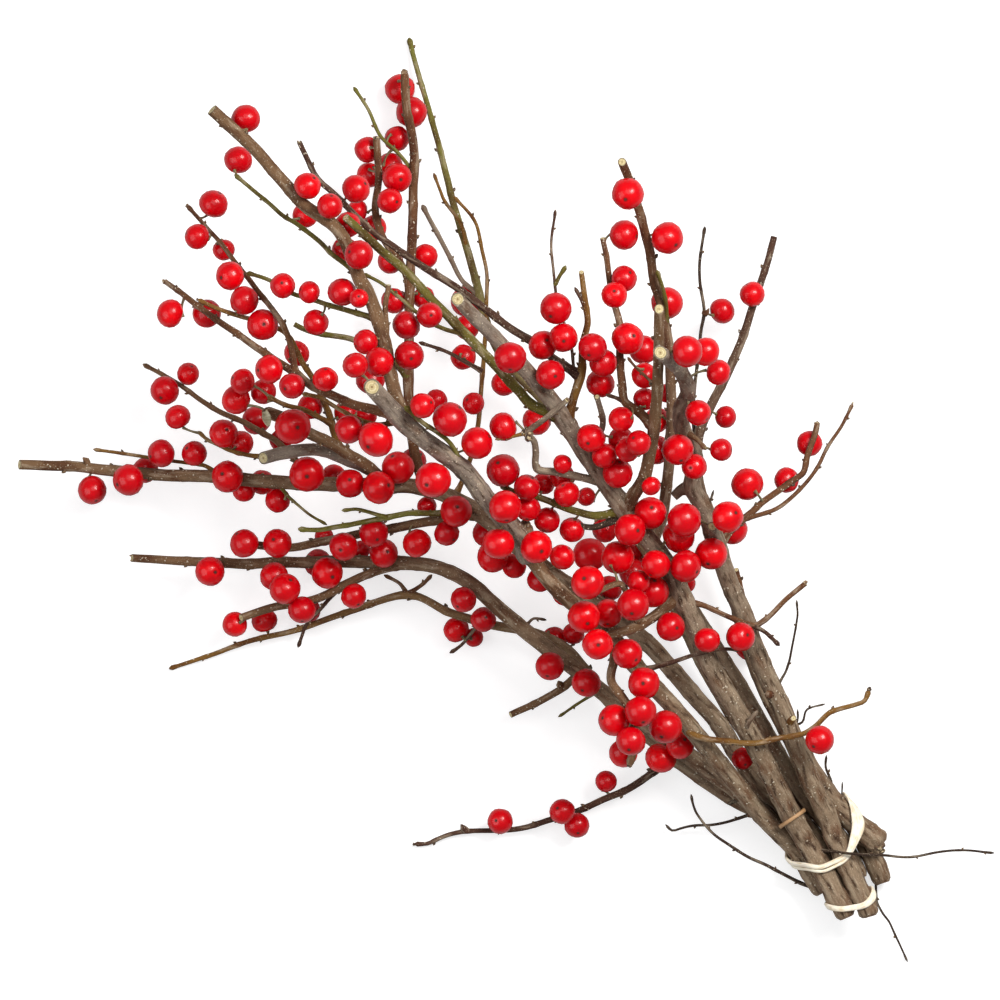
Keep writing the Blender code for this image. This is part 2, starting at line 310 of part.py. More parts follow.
class Settling:
    """Every bead of every shoot, and every berry, eased apart until no two of them meet."""

    def __init__(self, shoots):
        self.keys = list(shoots)
        self.first = {}
        self.count = {}
        place, radius, owner, stem = [], [], [], []
        for number, key in enumerate(self.keys):
            points, radii, _ = shoots[key]
            self.first[key] = len(place)
            self.count[key] = len(points)
            place += list(points)
            radius += list(radii)
            owner += [number] * len(points)
            stem += [int(key.rstrip(SHOOT_LETTERS))] * len(points)
        self.shoots = shoots
        self.beads = len(place)
        self.place = np.array(place)
        self.radius = np.array(radius)
        self.owner = np.array(owner)
        self.stem = np.array(stem)
        self.anchor = np.zeros(0, int)
        self.hang_berries()
        self.drawn = self.place.copy()
        self.pairs = self.near_pairs()
        along = (self.place[:, :2] - TIE_UPPER) @ AXIS[:2]
        self.floor = self.radius + (BAND_THICK + BAND_GAP + 0.4) * np.clip(2 - np.abs(along + 7) / 16, 0, 1)

    def hang_berries(self):
        """Puts each berry above or below the shoot it grows from, at the plan place it has."""
        centres, radii, anchors = [], [], []
        for side, berries in ((1, BERRIES_OVER), (-1, BERRIES_UNDER)):
            for x, y, diameter, *shoot in berries:
                size = diameter / 2
                away = np.hypot(self.place[:self.beads, 0] - x, self.place[:self.beads, 1] - y)
                reach = size + self.radius + PEDICEL_MOST
                cost = np.maximum(away - reach, 0) * 40 - side * 0.12 * self.place[:self.beads, 2] + away
                if shoot:
                    cost[self.owner[:self.beads] != self.keys.index(shoot[0])] += 1000
                bead = int(np.argmin(cost))
                touch = size + self.radius[bead] + 0.6
                lift = math.sqrt(max(touch ** 2 - away[bead] ** 2, 0.0))
                centres.append((x, y, max(self.place[bead, 2] + side * lift, size)))
                radii.append(size)
                anchors.append(bead)
        self.place = np.vstack([self.place, centres])
        self.radius = np.concatenate([self.radius, radii])
        self.anchor = np.array(anchors)
        self.owner = np.concatenate([self.owner, self.owner[self.anchor]])
        self.stem = np.concatenate([self.stem, self.stem[self.anchor]])

    def near_pairs(self):
        """The pairs that could come to touch: not neighbours on one shoot, and not a shoot and its fork."""
        flat = self.place[:, :2]
        apart = np.hypot(*(flat[:, None] - flat[None]).transpose(2, 0, 1))
        reach = self.radius[:, None] + self.radius[None] + BARK_GAP + 6.0
        first, second = np.nonzero(np.triu(apart < reach, 1))
        same = (self.owner[first] == self.owner[second]) & (second < self.beads)
        keep = ~same
        for key in SHOOTS:
            child = self.keys.index(key)
            parent = parent_of(key)
            kin = [number for number, other in enumerate(self.keys) if parent in (other, parent_of(other))]
            fork = self.place[self.first[key]]
            for one, other in ((first, second), (second, first)):
                mine = (self.owner[one] == child) & np.isin(self.owner[other], kin)
                mine &= (one < self.beads) & (other < self.beads)
                near = np.linalg.norm(self.place[one] - fork, axis=1) < 12.0
                near &= np.linalg.norm(self.place[other] - fork, axis=1) < 14.0
                keep &= ~(mine & near)
        return first[keep], second[keep]

    def push_apart(self):
        """Moves each overlapping pair apart, mostly up and down, the lighter one further."""
        one, two = self.pairs
        line = self.place[one] - self.place[two]
        apart = np.linalg.norm(line, axis=1)
        short = self.radius[one] + self.radius[two] + BARK_GAP - apart
        hit = short > 0
        one, two, line, apart, short = one[hit], two[hit], line[hit], apart[hit], short[hit]
        weight = np.where(one < self.beads, 6.0 + 6 * self.radius[one], 1.0)
        other = np.where(two < self.beads, 6.0 + 6 * self.radius[two], 1.0)
        line = line * (0.3, 0.3, 1.0) + (0, 0, 1e-3)
        line *= (short / np.linalg.norm(line, axis=1))[:, None]
        share = (other / (weight + other))[:, None]
        move = np.zeros_like(self.place)
        hits = np.zeros(len(self.place))
        np.add.at(move, one, line * share)
        np.add.at(move, two, -line * (1 - share))
        np.add.at(hits, one, 1)
        np.add.at(hits, two, 1)
        self.place += move / np.maximum(hits, 1)[:, None] ** 0.5
        return len(short)

    def ease_shoots(self):
        """Spreads each shoot's displacement along it, so that it stays a smooth line, and keeps forks joined."""
        for key in self.keys:
            start, count = self.first[key], self.count[key]
            span = slice(start, start + count)
            shift = self.place[span] - self.drawn[span]
            for _ in range(2):
                middle = (shift[:-2] + 2 * shift[1:-1] + shift[2:]) / 4
                shift[1:-1] = middle
            fork = self.shoots[key][2]
            if fork is not None:
                parent = self.first[parent_of(key)] + fork
                gap = self.place[parent] - self.drawn[parent] - shift[0]
                fade = np.maximum(1 - np.arange(count) / 6.0, 0)[:, None]
                shift += gap * fade
            else:
                shift[:8] *= 0.9
            self.place[span] = self.drawn[span] + shift * 0.995

    def hold_berries(self):
        """Keeps each berry within its stalk's reach of the shoot, and near its plan place."""
        berry = np.arange(self.beads, len(self.place))
        flat = self.drawn[berry, :2] + (self.place[self.anchor] - self.drawn[self.anchor])[:, :2]
        self.place[berry, :2] += 0.2 * (flat - self.place[berry, :2])
        line = self.place[berry] - self.place[self.anchor]
        apart = np.linalg.norm(line, axis=1)
        bark = self.radius[berry] + self.radius[self.anchor]
        wanted = np.clip(apart, bark + 0.3, bark + PEDICEL_MOST)
        self.place[berry] += line * ((wanted - apart) / apart)[:, None] * 0.6

    def run(self):
        for _ in range(SETTLE_ROUNDS):
            left = self.push_apart()
            self.ease_shoots()
            self.hold_berries()
            self.place[:, 2] = np.maximum(self.place[:, 2], self.floor)
        return left


def thinned(points, radii, slack, forks):
    """The fewest of a line's points that keep it within the slack (Ramer, Douglas, Peucker), and its forks."""
    keep = {0, len(points) - 1, *forks}
    spans = list(zip(sorted(keep), sorted(keep)[1:]))
    while spans:
        start, end = spans.pop()
        if end - start < 2:
            continue
        chord = points[end] - points[start]
        chord = chord / np.linalg.norm(chord)
        away = points[start + 1:end] - points[start]
        away = np.linalg.norm(away - np.outer(away @ chord, chord), axis=1)
        worst = int(np.argmax(away))
        if away[worst] > slack:
            middle = start + 1 + worst
            keep.add(middle)
            spans += [(start, middle), (middle, end)]
    chosen = sorted(keep)
    return points[chosen], radii[chosen]


def material(name, colour, roughness):
    made = bpy.data.materials.new(name)
    made.use_nodes = True
    shader = made.node_tree.nodes["Principled BSDF"]
    shader.inputs["Base Color"].default_value = (*colour, 1.0)
    shader.inputs["Roughness"].default_value = roughness
    return made


def mesh_object(name, bm, finish, collection):
    """One object from a bmesh whose coordinates are in millimetres in the drawing's own frame."""
    shift = np.array([-PLAN_CENTRE[0], -PLAN_CENTRE[1], -FACET_DROP])
    for vertex in bm.verts:
        vertex.co = (np.array(vertex.co) + shift) * MM
    bmesh.ops.recalc_face_normals(bm, faces=bm.faces)
    mesh = bpy.data.meshes.new(name)
    bm.to_mesh(mesh)
    bm.free()
    mesh.shade_smooth()
    mesh.materials.append(finish)
    made = bpy.data.objects.new(name, mesh)
    collection.objects.link(made)
    return made


def ring_at(bm, centre, side, up, radius, sides):
    turns = [math.tau * number / sides for number in range(sides)]
    return [bm.verts.new(centre + radius * (math.cos(t) * side + math.sin(t) * up)) for t in turns]


def bridge(bm, ring, following):
    count = len(ring)
    for number in range(count):
        after = (number + 1) % count
        bm.faces.new((ring[number], ring[after], following[after], following[number]))


SIDES = ((2.3, 7), (1.25, 6), (0.75, 5), (0.0, 4))  # (a tube thicker than this radius, how many sides it gets)


def sides_of(radius):
    """How many sides a tube of this greatest radius gets."""
    return next(sides for thicker, sides in SIDES if radius > thicker)


def add_tube(bm, points, radii, sides):
    """A closed tube along the points, with a flat cut at each end."""
    side = None
    rings = []
    for number, point in enumerate(points):
        ahead = points[min(number + 1, len(points) - 1)] - points[max(number - 1, 0)]
        ahead = ahead / np.linalg.norm(ahead)
        if side is None:
            side = np.cross(ahead, UP if abs(ahead[2]) < 0.9 else AXIS)
        side = side - ahead * float(side @ ahead)
        side = side / np.linalg.norm(side)
        rings.append(ring_at(bm, point, side, np.cross(side, ahead), radii[number], sides))
    for ring, following in zip(rings, rings[1:]):
        bridge(bm, ring, following)
    bm.faces.new(rings[0][::-1])
    bm.faces.new(rings[-1])


BERRY_RINGS = ((26, 0.90), (80, 1.0), (132, 0.98))  # (degrees from the stalk, distance from the centre)


def nearest_inside(points, place):
    """The point of a line nearest to a place, kept a little way in from the line's ends."""
    best, found = 1e9, None
    for number, (start, end) in enumerate(zip(points, points[1:])):
        chord = end - start
        low = 0.35 if number == 0 else 0.0
        high = 0.65 if number == len(points) - 2 else 1.0
        share = min(max(float((place - start) @ chord) / float(chord @ chord), low), high)
        point = start + share * chord
        away = float(np.linalg.norm(place - point))
        if away < best:
            best, found = away, point
    return found


def add_berry(bm, centre, radius, foot):
    """A small faceted berry whose stalk runs to its foot in the wood."""
    down = (centre - foot) / np.linalg.norm(centre - foot)
    side = np.cross(down, UP if abs(down[2]) < 0.9 else AXIS)
    side = side / np.linalg.norm(side)
    up = np.cross(down, side)
    rings = []
    for degrees, share in BERRY_RINGS:
        angle = math.radians(degrees)
        middle = centre - down * radius * share * math.cos(angle)
        rings.append(ring_at(bm, middle, side, up, radius * share * math.sin(angle), 5))
    top = bm.verts.new(foot)
    end = bm.verts.new(centre + down * radius * 0.97)
    for ring, following in zip(rings, rings[1:]):
        bridge(bm, ring, following)
    for number in range(5):
        after = (number + 1) % 5
        bm.faces.new((top, rings[0][after], rings[0][number]))
        bm.faces.new((end, rings[-1][number], rings[-1][after]))


def helper(made):
    made.hide_render = True
    made.display_type = "WIRE"
    return made


def build_stem(key, settled, bark, fruit):
    """One grown stem: its main shoot joined with its side shoots and berries."""
    name = f"stem_{key}"
    parts = bpy.data.collections.new(f"{name}_parts")
    bpy.context.scene.collection.children.link(parts)
    stem = None
    lines = {}
    for shoot in settled.keys:
        if shoot.rstrip(SHOOT_LETTERS) != key:
            continue
        start, count = settled.first[shoot], settled.count[shoot]
        points = settled.place[start:start + count]
        radii = settled.radius[start:start + count]
        forks = [settled.shoots[other][2] for other in settled.keys if parent_of(other) == shoot]
        points, radii = thinned(points, radii, LINE_SLACK if radii.max() > 1.0 else 0.7 * LINE_SLACK, forks)
        lines[shoot] = points
        bm = bmesh.new()
        add_tube(bm, points, radii, sides_of(radii.max()))
        if stem is None:
            stem = mesh_object(name, bm, bark, bpy.context.scene.collection)
        else:
            helper(mesh_object(f"{name}_shoot_{shoot}", bm, bark, parts))
    for number, bead in enumerate(settled.anchor):
        if settled.stem[bead] != int(key):
            continue
        berry = settled.beads + number
        foot = nearest_inside(lines[settled.keys[settled.owner[bead]]], settled.place[bead])
        bm = bmesh.new()
        add_berry(bm, settled.place[berry], settled.radius[berry], foot)
        helper(mesh_object(f"{name}_berry_{number}", bm, fruit, parts))
    stem.data.materials.append(fruit)
    joined = stem.modifiers.new("grown together", "BOOLEAN")
    joined.operation = "UNION"
    joined.solver = "EXACT"
    joined.operand_type = "COLLECTION"
    joined.collection = parts
    return stem


def on_bark(settled, stem, degrees, station):
    """The middle of a band where it lies on a stem, and the way out from the bark there."""
    start = settled.first[stem]
    points, radii = settled.place[start:start + 22], settled.radius[start:start + 22]
    along = (points[:, :2] - TIE_UPPER) @ AXIS[:2]
    across = (points[:, :2] - TIE_UPPER) @ ACROSS[:2]
    centre, ahead = (np.array([np.interp(place, along, across), np.interp(place, along, points[:, 2])])
                     for place in (station, station + 2))
    lean = float(np.linalg.norm(ahead - centre)) / 2
    reach = np.interp(station, along, radii) * math.sqrt(1 + 0.8 * lean ** 2) + BAND_GAP + BAND_THICK / 2
    out = np.array([math.cos(math.radians(degrees)), math.sin(math.radians(degrees))])
    middle = centre + out * reach
    place = np.array([*TIE_UPPER, 0.0]) + station * AXIS + middle[0] * ACROSS + middle[1] * UP
    return [*place, *(out[0] * ACROSS + out[1] * UP)]


def band_path(settled, marks):
    """A stretched band's line through its marks. Each row is a middle, the way out of the bundle, and the width."""
    path = []
    for mark, following in zip(marks, marks[1:] + marks[:1]):
        turn = (following[1] - mark[1]) % 360 if following[0] == mark[0] else 0
        steps = max(1, math.ceil(turn / TURN_STEP))
        for share in np.arange(steps) / steps:
            station, width = (mark[part] + share * (following[part] - mark[part]) for part in (2, 3))
            path.append([*on_bark(settled, mark[0], mark[1] + share * turn, station), width])
    return np.array(path)


def build_band(name, path, finish):
    """A flat rubber band: a six-sided strip swept round a closed path."""
    bm = bmesh.new()
    profile = ((-0.5, 0.0), (-0.35, -0.5), (0.35, -0.5), (0.5, 0.0), (0.35, 0.5), (-0.35, 0.5))
    rings = []
    for number, row in enumerate(path):
        ahead = path[(number + 1) % len(path)][:3] - path[number - 1][:3]
        flat = np.cross(ahead, row[3:6])
        flat = flat / np.linalg.norm(flat)
        rings.append([bm.verts.new(row[:3] + flat * row[6] * wide + row[3:6] * BAND_THICK * thick)
                      for wide, thick in profile])
    for ring, following in zip(rings, rings[1:] + rings[:1]):
        bridge(bm, ring, following)
    return mesh_object(name, bm, finish, bpy.context.scene.collection)


def main():
    for old in list(bpy.data.objects):
        bpy.data.objects.remove(old)
    bark = material("winterberry bark", WOOD, 0.85)
    fruit = material("ripe berry skin", BERRY, 0.28)
    rubber = material("cream rubber", RUBBER, 0.6)
    settled = Settling(add_side_shoots(main_shoots()))
    left = settled.run()
    print("pairs still closer than the gap:", left, "berries:", len(settled.anchor))
    for key in STEMS:
        build_stem(key, settled, bark, fruit)
    for name, marks in BANDS.items():
        build_band(name, band_path(settled, marks), rubber)


main()
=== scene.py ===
# %% [markdown]
# # A tied bunch of winterberry holly
#
# Ten cut branches of a holly that drops its leaves in winter, so that only the wood and the red berries are
# left. Rubber bands hold them near their cut ends, and the bunch lies on a table, its tips fanned out.
#
# The lesson goes from the inside out. A few small helpers come first. Then the plan of the bunch, and a
# short relaxation that lets the branches settle round each other. The wood, the berries, the buds, the sawn
# ends and the rubber bands are grown on that plan, mostly by Geometry Nodes, and light and camera come last.
#
# Plan places and sizes are in millimetres, because that is how one thinks of a twig. They become metres
# only where a mesh is made.

# %% Start from the fixed frame
import math

import bmesh
import bpy
import numpy as np
from mathutils import Matrix, Quaternion, Vector


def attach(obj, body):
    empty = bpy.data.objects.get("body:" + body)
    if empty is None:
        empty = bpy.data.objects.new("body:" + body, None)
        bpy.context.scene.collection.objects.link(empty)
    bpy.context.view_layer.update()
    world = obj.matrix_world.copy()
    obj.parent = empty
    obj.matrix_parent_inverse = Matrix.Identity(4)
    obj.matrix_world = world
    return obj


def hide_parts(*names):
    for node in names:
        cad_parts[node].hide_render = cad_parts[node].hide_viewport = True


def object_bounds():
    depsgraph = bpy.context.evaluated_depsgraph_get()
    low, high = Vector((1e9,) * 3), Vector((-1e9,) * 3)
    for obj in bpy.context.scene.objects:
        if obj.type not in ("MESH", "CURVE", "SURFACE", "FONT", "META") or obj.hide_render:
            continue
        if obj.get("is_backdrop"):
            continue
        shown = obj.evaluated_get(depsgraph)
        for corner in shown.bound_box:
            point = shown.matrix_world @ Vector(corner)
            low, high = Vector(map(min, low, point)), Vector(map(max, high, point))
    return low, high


MM = 0.001
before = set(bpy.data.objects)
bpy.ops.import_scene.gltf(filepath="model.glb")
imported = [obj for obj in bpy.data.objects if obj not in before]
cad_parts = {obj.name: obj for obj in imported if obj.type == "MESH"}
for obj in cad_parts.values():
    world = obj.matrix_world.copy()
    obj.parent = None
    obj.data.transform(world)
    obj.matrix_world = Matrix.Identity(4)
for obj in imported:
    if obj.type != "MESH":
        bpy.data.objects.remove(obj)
cad_box = [list(corner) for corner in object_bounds()]
print("frame:", len(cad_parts), "nodes,", [round((b - a) / MM, 1) for a, b in zip(*cad_box)], "mm")

# %% [markdown]
# ## Small helpers
#
# Colours are written as the hex values that a picture editor shows. Blender's shaders work in linear light,
# so one function turns the one into the other. A second adds a node to any tree, a shader's or a Geometry
# Nodes group's, sets it up and wires its inputs: a number or a name is set, and a socket is linked.

# %% Colours and nodes
def linear(hexes):
    """An sRGB hex colour as linear red, green, blue and alpha."""
    parts = [int(hexes[start:start + 2], 16) / 255 for start in (1, 3, 5)]
    return (*[part / 12.92 if part <= 0.04045 else ((part + 0.055) / 1.055) ** 2.4 for part in parts], 1.0)


def node(tree, kind, inputs=None, **settings):
    """Adds a node with its settings, and fills its inputs with values or with links from other sockets."""
    made = tree.nodes.new(kind)
    for name, value in settings.items():
        setattr(made, name, value)
    for key, value in (inputs or {}).items():
        if isinstance(value, bpy.types.NodeSocket):
            tree.links.new(value, made.inputs[key])
        else:
            made.inputs[key].default_value = value
    return made


def calc(tree, operation, *values):
    """One step of arithmetic on numbers."""
    return node(tree, "ShaderNodeMath", dict(enumerate(values)), operation=operation).outputs[0]


def calc_vector(tree, operation, one, other=None):
    """One step of arithmetic on vectors. SCALE takes a number second, and NORMALIZE takes nothing."""
    inputs = {0: one}
    if other is not None:
        inputs["Scale" if operation == "SCALE" else 1] = other
    made = node(tree, "ShaderNodeVectorMath", inputs, operation=operation)
    return made.outputs["Value" if operation == "DOT_PRODUCT" else "Vector"]


# %% [markdown]
# A Geometry Nodes group is made once and used on many pieces, each time with other sizes. Its inputs have
# names, and a modifier is set by each input's identifier, before the object is first evaluated. What comes
# out is frozen to a plain mesh with `new_from_object`, so no modifier is left on a finished piece.

# %% Geometry Nodes groups, and freezing what they make
SOCKETS = {"size": "NodeSocketFloat", "count": "NodeSocketInt", "finish": "NodeSocketMaterial",
           "shape": "NodeSocketObject"}


def new_group(name, inputs):
    """A Geometry Nodes group with these named inputs, with what it is given and where its result goes."""
    group = bpy.data.node_groups.new(name, "GeometryNodeTree")
    group.interface.new_socket("Geometry", in_out="INPUT", socket_type="NodeSocketGeometry")
    group.interface.new_socket("Geometry", in_out="OUTPUT", socket_type="NodeSocketGeometry")
    for label, kind in inputs:
        group.interface.new_socket(label, in_out="INPUT", socket_type=SOCKETS[kind])
    return group, group.nodes.new("NodeGroupInput").outputs, group.nodes.new("NodeGroupOutput").inputs


def grown(name, source, group, values):
    """Runs a group over a source object, which is then dropped, and returns a plain mesh object."""
    modifier = source.modifiers.new(group.name, "NODES")
    modifier.node_group = group
    for socket in group.interface.items_tree:
        if socket.in_out == "INPUT" and socket.name in values:
            modifier[socket.identifier] = values[socket.name]
    bpy.context.view_layer.update()
    graph = bpy.context.evaluated_depsgraph_get()
    mesh = bpy.data.meshes.new_from_object(source.evaluated_get(graph), depsgraph=graph)
    mesh.name = name
    bpy.data.objects.remove(source)
    made = bpy.data.objects.new(name, mesh)
    bpy.context.scene.collection.objects.link(made)
    return made


def mesh_object(name, points, edges=(), faces=()):
    """A mesh object from points in millimetres, linked to the scene."""
    mesh = bpy.data.meshes.new(name)
    mesh.from_pydata([tuple(MM * value for value in point) for point in points], list(edges), list(faces))
    made = bpy.data.objects.new(name, mesh)
    bpy.context.scene.collection.objects.link(made)
    return made


def put_attribute(made, name, values):
    """Stores one number, or one vector, for each point of a mesh object."""
    values = np.asarray(values, float)
    kind, field = ("FLOAT", "value") if values.ndim == 1 else ("FLOAT_VECTOR", "vector")
    made.data.attributes.new(name, kind, "POINT").data.foreach_set(field, values.ravel())


def joined(name, pieces):
    """Several plain mesh objects as one, their materials and attributes kept."""
    if len(pieces) > 1:
        with bpy.context.temp_override(active_object=pieces[0], selected_editable_objects=pieces):
            bpy.ops.object.join()
    pieces[0].name = pieces[0].data.name = name
    return pieces[0]


# %% [markdown]
# ## The plan of the bunch
#
# Seen from above, each branch is drawn as a handful of points, as one would sketch it. A cut stem has its
# height at each point too, because the stems are stacked in the tie and fan up from it. A side shoot's key is
# its parent's key and a letter, so `2ab` grows from `2a`, which grows from stem 2. It needs the height of its
# tip only. The solids of the frame were made from this same plan, so the wood and berries here lie in them.

# %% Cut stems, from butt to tip
PLAN_CENTRE = (1.862, 0.110)  # the middle of the bunch's box, which the frame has at its origin
FLOOR_DROP = 0.1576  # the drawn heights start this far above the frame's floor
TIE_LOWER = (107.4, -117.9)  # where the lower band crosses the bundle's axis
TIE_UPPER = (98.4, -102.6)  # where the upper band crosses it
BARK_GAP = 0.55  # room kept between round surfaces that lie against each other
PEDICEL_MOST = 4.0  # the longest berry stalk, from bark to berry
BEAD_STEP = 3.0  # spacing of the points that the shoots are settled with
BAND_THICK = 1.0
BAND_GAP = 0.45
SETTLE_ROUNDS = 300
SHOOT_LETTERS = "abcdefghi"

# ---- The cut stems ----
# key: (butt radius, tip radius, how late it thins), then the points (x, y, height) from the cut butt, through
# the tie, to the tip.
# In the tie, three stems lie on four on three, each in the hollow between those under it.
STEMS = {
    "1": ((2.8, 1.2, 1.7), [
        (97.3, -117.2, 4.4), (91.2, -106.9, 4.4), (85, -99.5, 7.5), (79, -93.5, 10.3), (71, -87, 12.5),
        (60, -79, 14.5), (48, -70.5, 16), (35, -61, 18), (24, -52, 19), (12, -43, 20), (0, -33, 21),
        (-9, -25, 21), (-18, -20.5, 20), (-30, -19, 18), (-51, -18.5, 15), (-80, -19, 12), (-97, -18.5, 11),
        (-111, -17.5, 9)]),
    "2": ((2.8, 2.2, 1.7), [
        (97.3, -118.6, 10.6), (90.4, -107.2, 10.6), (84.9, -101.2, 12.9), (79, -95.2, 16.5),
        (74.5, -89.5, 20.8), (70, -84, 25), (65, -78, 30), (60.5, -72.5, 34), (55.5, -66.5, 38),
        (50, -60, 42), (44, -53.5, 45.5), (38, -46.5, 49), (31, -38.5, 53), (21, -30.5, 57),
        (13, -23, 60), (8.5, -16, 63), (6.5, -7.5, 68)]),
    "3": ((3.2, 2.0, 2.2), [
        (105.5, -125.6, 15.7), (93.9, -105.4, 15.7), (91, -100.5, 17), (88, -95.8, 19.5), (82.5, -85, 26),
        (77.5, -75, 32), (72.5, -66, 38), (69, -60, 42), (63.3, -50, 47), (57.5, -36, 53), (50, -20, 59),
        (42, -9, 64), (36, -1, 68), (29, 8.5, 74), (21, 20, 82), (13.5, 31.5, 91), (1, 45.5, 104),
        (-12.5, 59.5, 118)]),
    "4": ((3.1, 2.0, 1.7), [
        (111, -125.6, 15.7), (109, -119.8, 15.7), (101, -101.8, 15.7), (98, -94.5, 17), (92, -81.5, 23),
        (87, -69, 29), (82.3, -57.5, 34), (78.5, -49, 38), (74, -37, 43), (69, -25, 48), (66, -17, 52),
        (63.5, -9, 55), (60.5, -1, 59), (57.5, 4, 62), (58, 13, 67), (54.5, 21, 73), (54, 27, 79),
        (56, 32.5, 88), (53.5, 38.5, 104), (50, 41.5, 120), (47.4, 43.6, 133)]),
    "5": ((4.0, 0.8, 0.8), [
        (114.4, -104.6, 10), (110.4, -101, 10.3), (106.2, -97.3, 10.8), (101, -92, 11.8), (96.4, -85.6, 13.5),
        (93, -79.6, 15.5), (90.3, -74.5, 17.5), (87.4, -69, 19.5), (84.2, -63, 22), (81.2, -57, 24.5),
        (78.5, -51.5, 27), (76.5, -45, 29), (75, -38, 31), (73, -30, 33), (71, -21, 35)]),
    "6": ((2.8, 1.5, 1.7), [
        (107.3, -122.2, 10.3), (96.2, -103.9, 10.3), (92, -98.2, 10.6), (86, -92.8, 11.5),
        (80.5, -88.4, 12.8), (76, -83.5, 14.2), (71.8, -77.5, 16), (67.8, -70.5, 18.5), (63.8, -65, 20.5),
        (59, -59.5, 22), (53, -52.5, 24), (46, -44.5, 26), (40, -39, 27), (33, -33.5, 28.5),
        (25, -28.5, 30), (16, -22.5, 31), (6, -15, 32), (-4, -6, 33), (-14, 0.5, 34), (-25, 4, 34),
        (-40, 4.5, 33), (-55, 4.8, 31), (-70, 5.5, 28), (-85, 7, 24), (-100, 7.5, 20), (-117, 9, 15),
        (-130, 10.3, 12), (-145, 10.7, 9)]),
    "7": ((2.8, 1.3, 0.45), [
        (105, -105.4, 10.3), (101.8, -100.6, 10.3), (96, -94.4, 11), (91.2, -88.6, 12.3), (85.8, -79.3, 15.6),
        (79, -67.5, 20), (72.5, -56, 24), (66.3, -45.5, 27.5), (60, -36, 30), (54, -27, 32), (48, -19, 35),
        (46, -13, 37), (48, -7, 40), (49.5, 0, 43), (50.5, 8, 46), (51, 16, 49), (51.5, 26, 53), (51, 37, 58),
        (50.3, 48, 64), (48.5, 57, 69), (46, 66, 74), (44.5, 75.5, 80), (42.5, 83, 85), (39.5, 92, 91),
        (36.3, 100.5, 97)]),
    "8": ((2.8, 0.6, 0.8), [
        (106.5, -121.2, 4.3), (96.6, -103.7, 4.3), (90, -98, 4.3), (80, -95, 4.6), (70, -90.5, 5.5),
        (60, -83.5, 6.5), (50, -76, 8), (40, -68, 9), (32, -60, 10), (26, -52, 11), (20, -45, 11),
        (10, -40, 10.5), (-3, -37.5, 10), (-15, -34, 9.5), (-28, -28.5, 9), (-45, -33.5, 7.5),
        (-63, -39.5, 5.5), (-75, -42, 4), (-87, -46.5, 2.5), (-100, -51, 1.2)]),
    "9": ((2.8, 0.7, 0.9), [
        (109.9, -114.2, 4.3), (101.8, -100.6, 4.3), (89, -88, 4.8), (77, -74, 5.5), (68, -61, 6.5),
        (60, -47, 8), (53, -32, 10), (46, -18, 12), (38, -6, 14), (30, 6, 16), (22, 18, 17), (13, 30, 17.5),
        (5, 38, 18), (-1, 46, 18), (-5, 56, 18), (-7, 65, 17), (-10.5, 78, 15), (-15.2, 94, 12),
        (-20.5, 114.5, 8), (-25.5, 131.5, 3), (-27.5, 139.7, 1)]),
    "10": ((3.1, 1.0, 0.8), [
        (115.6, -115.8, 4.4), (106.4, -98, 4.4), (101.6, -92.4, 4.5), (97.2, -87.2, 4.8), (88.3, -73.3, 6.3),
        (80.3, -58, 8), (74.7, -43.8, 10), (70.5, -29, 12), (66, -15, 14), (62, -3, 16), (59.5, 8, 18),
        (60, 20, 20), (63.5, 28.5, 22), (67.5, 36, 22), (72.5, 47.5, 21), (76, 57.5, 18), (79, 66.5, 14),
        (81, 73, 10), (82.8, 79.5, 6)]),
}

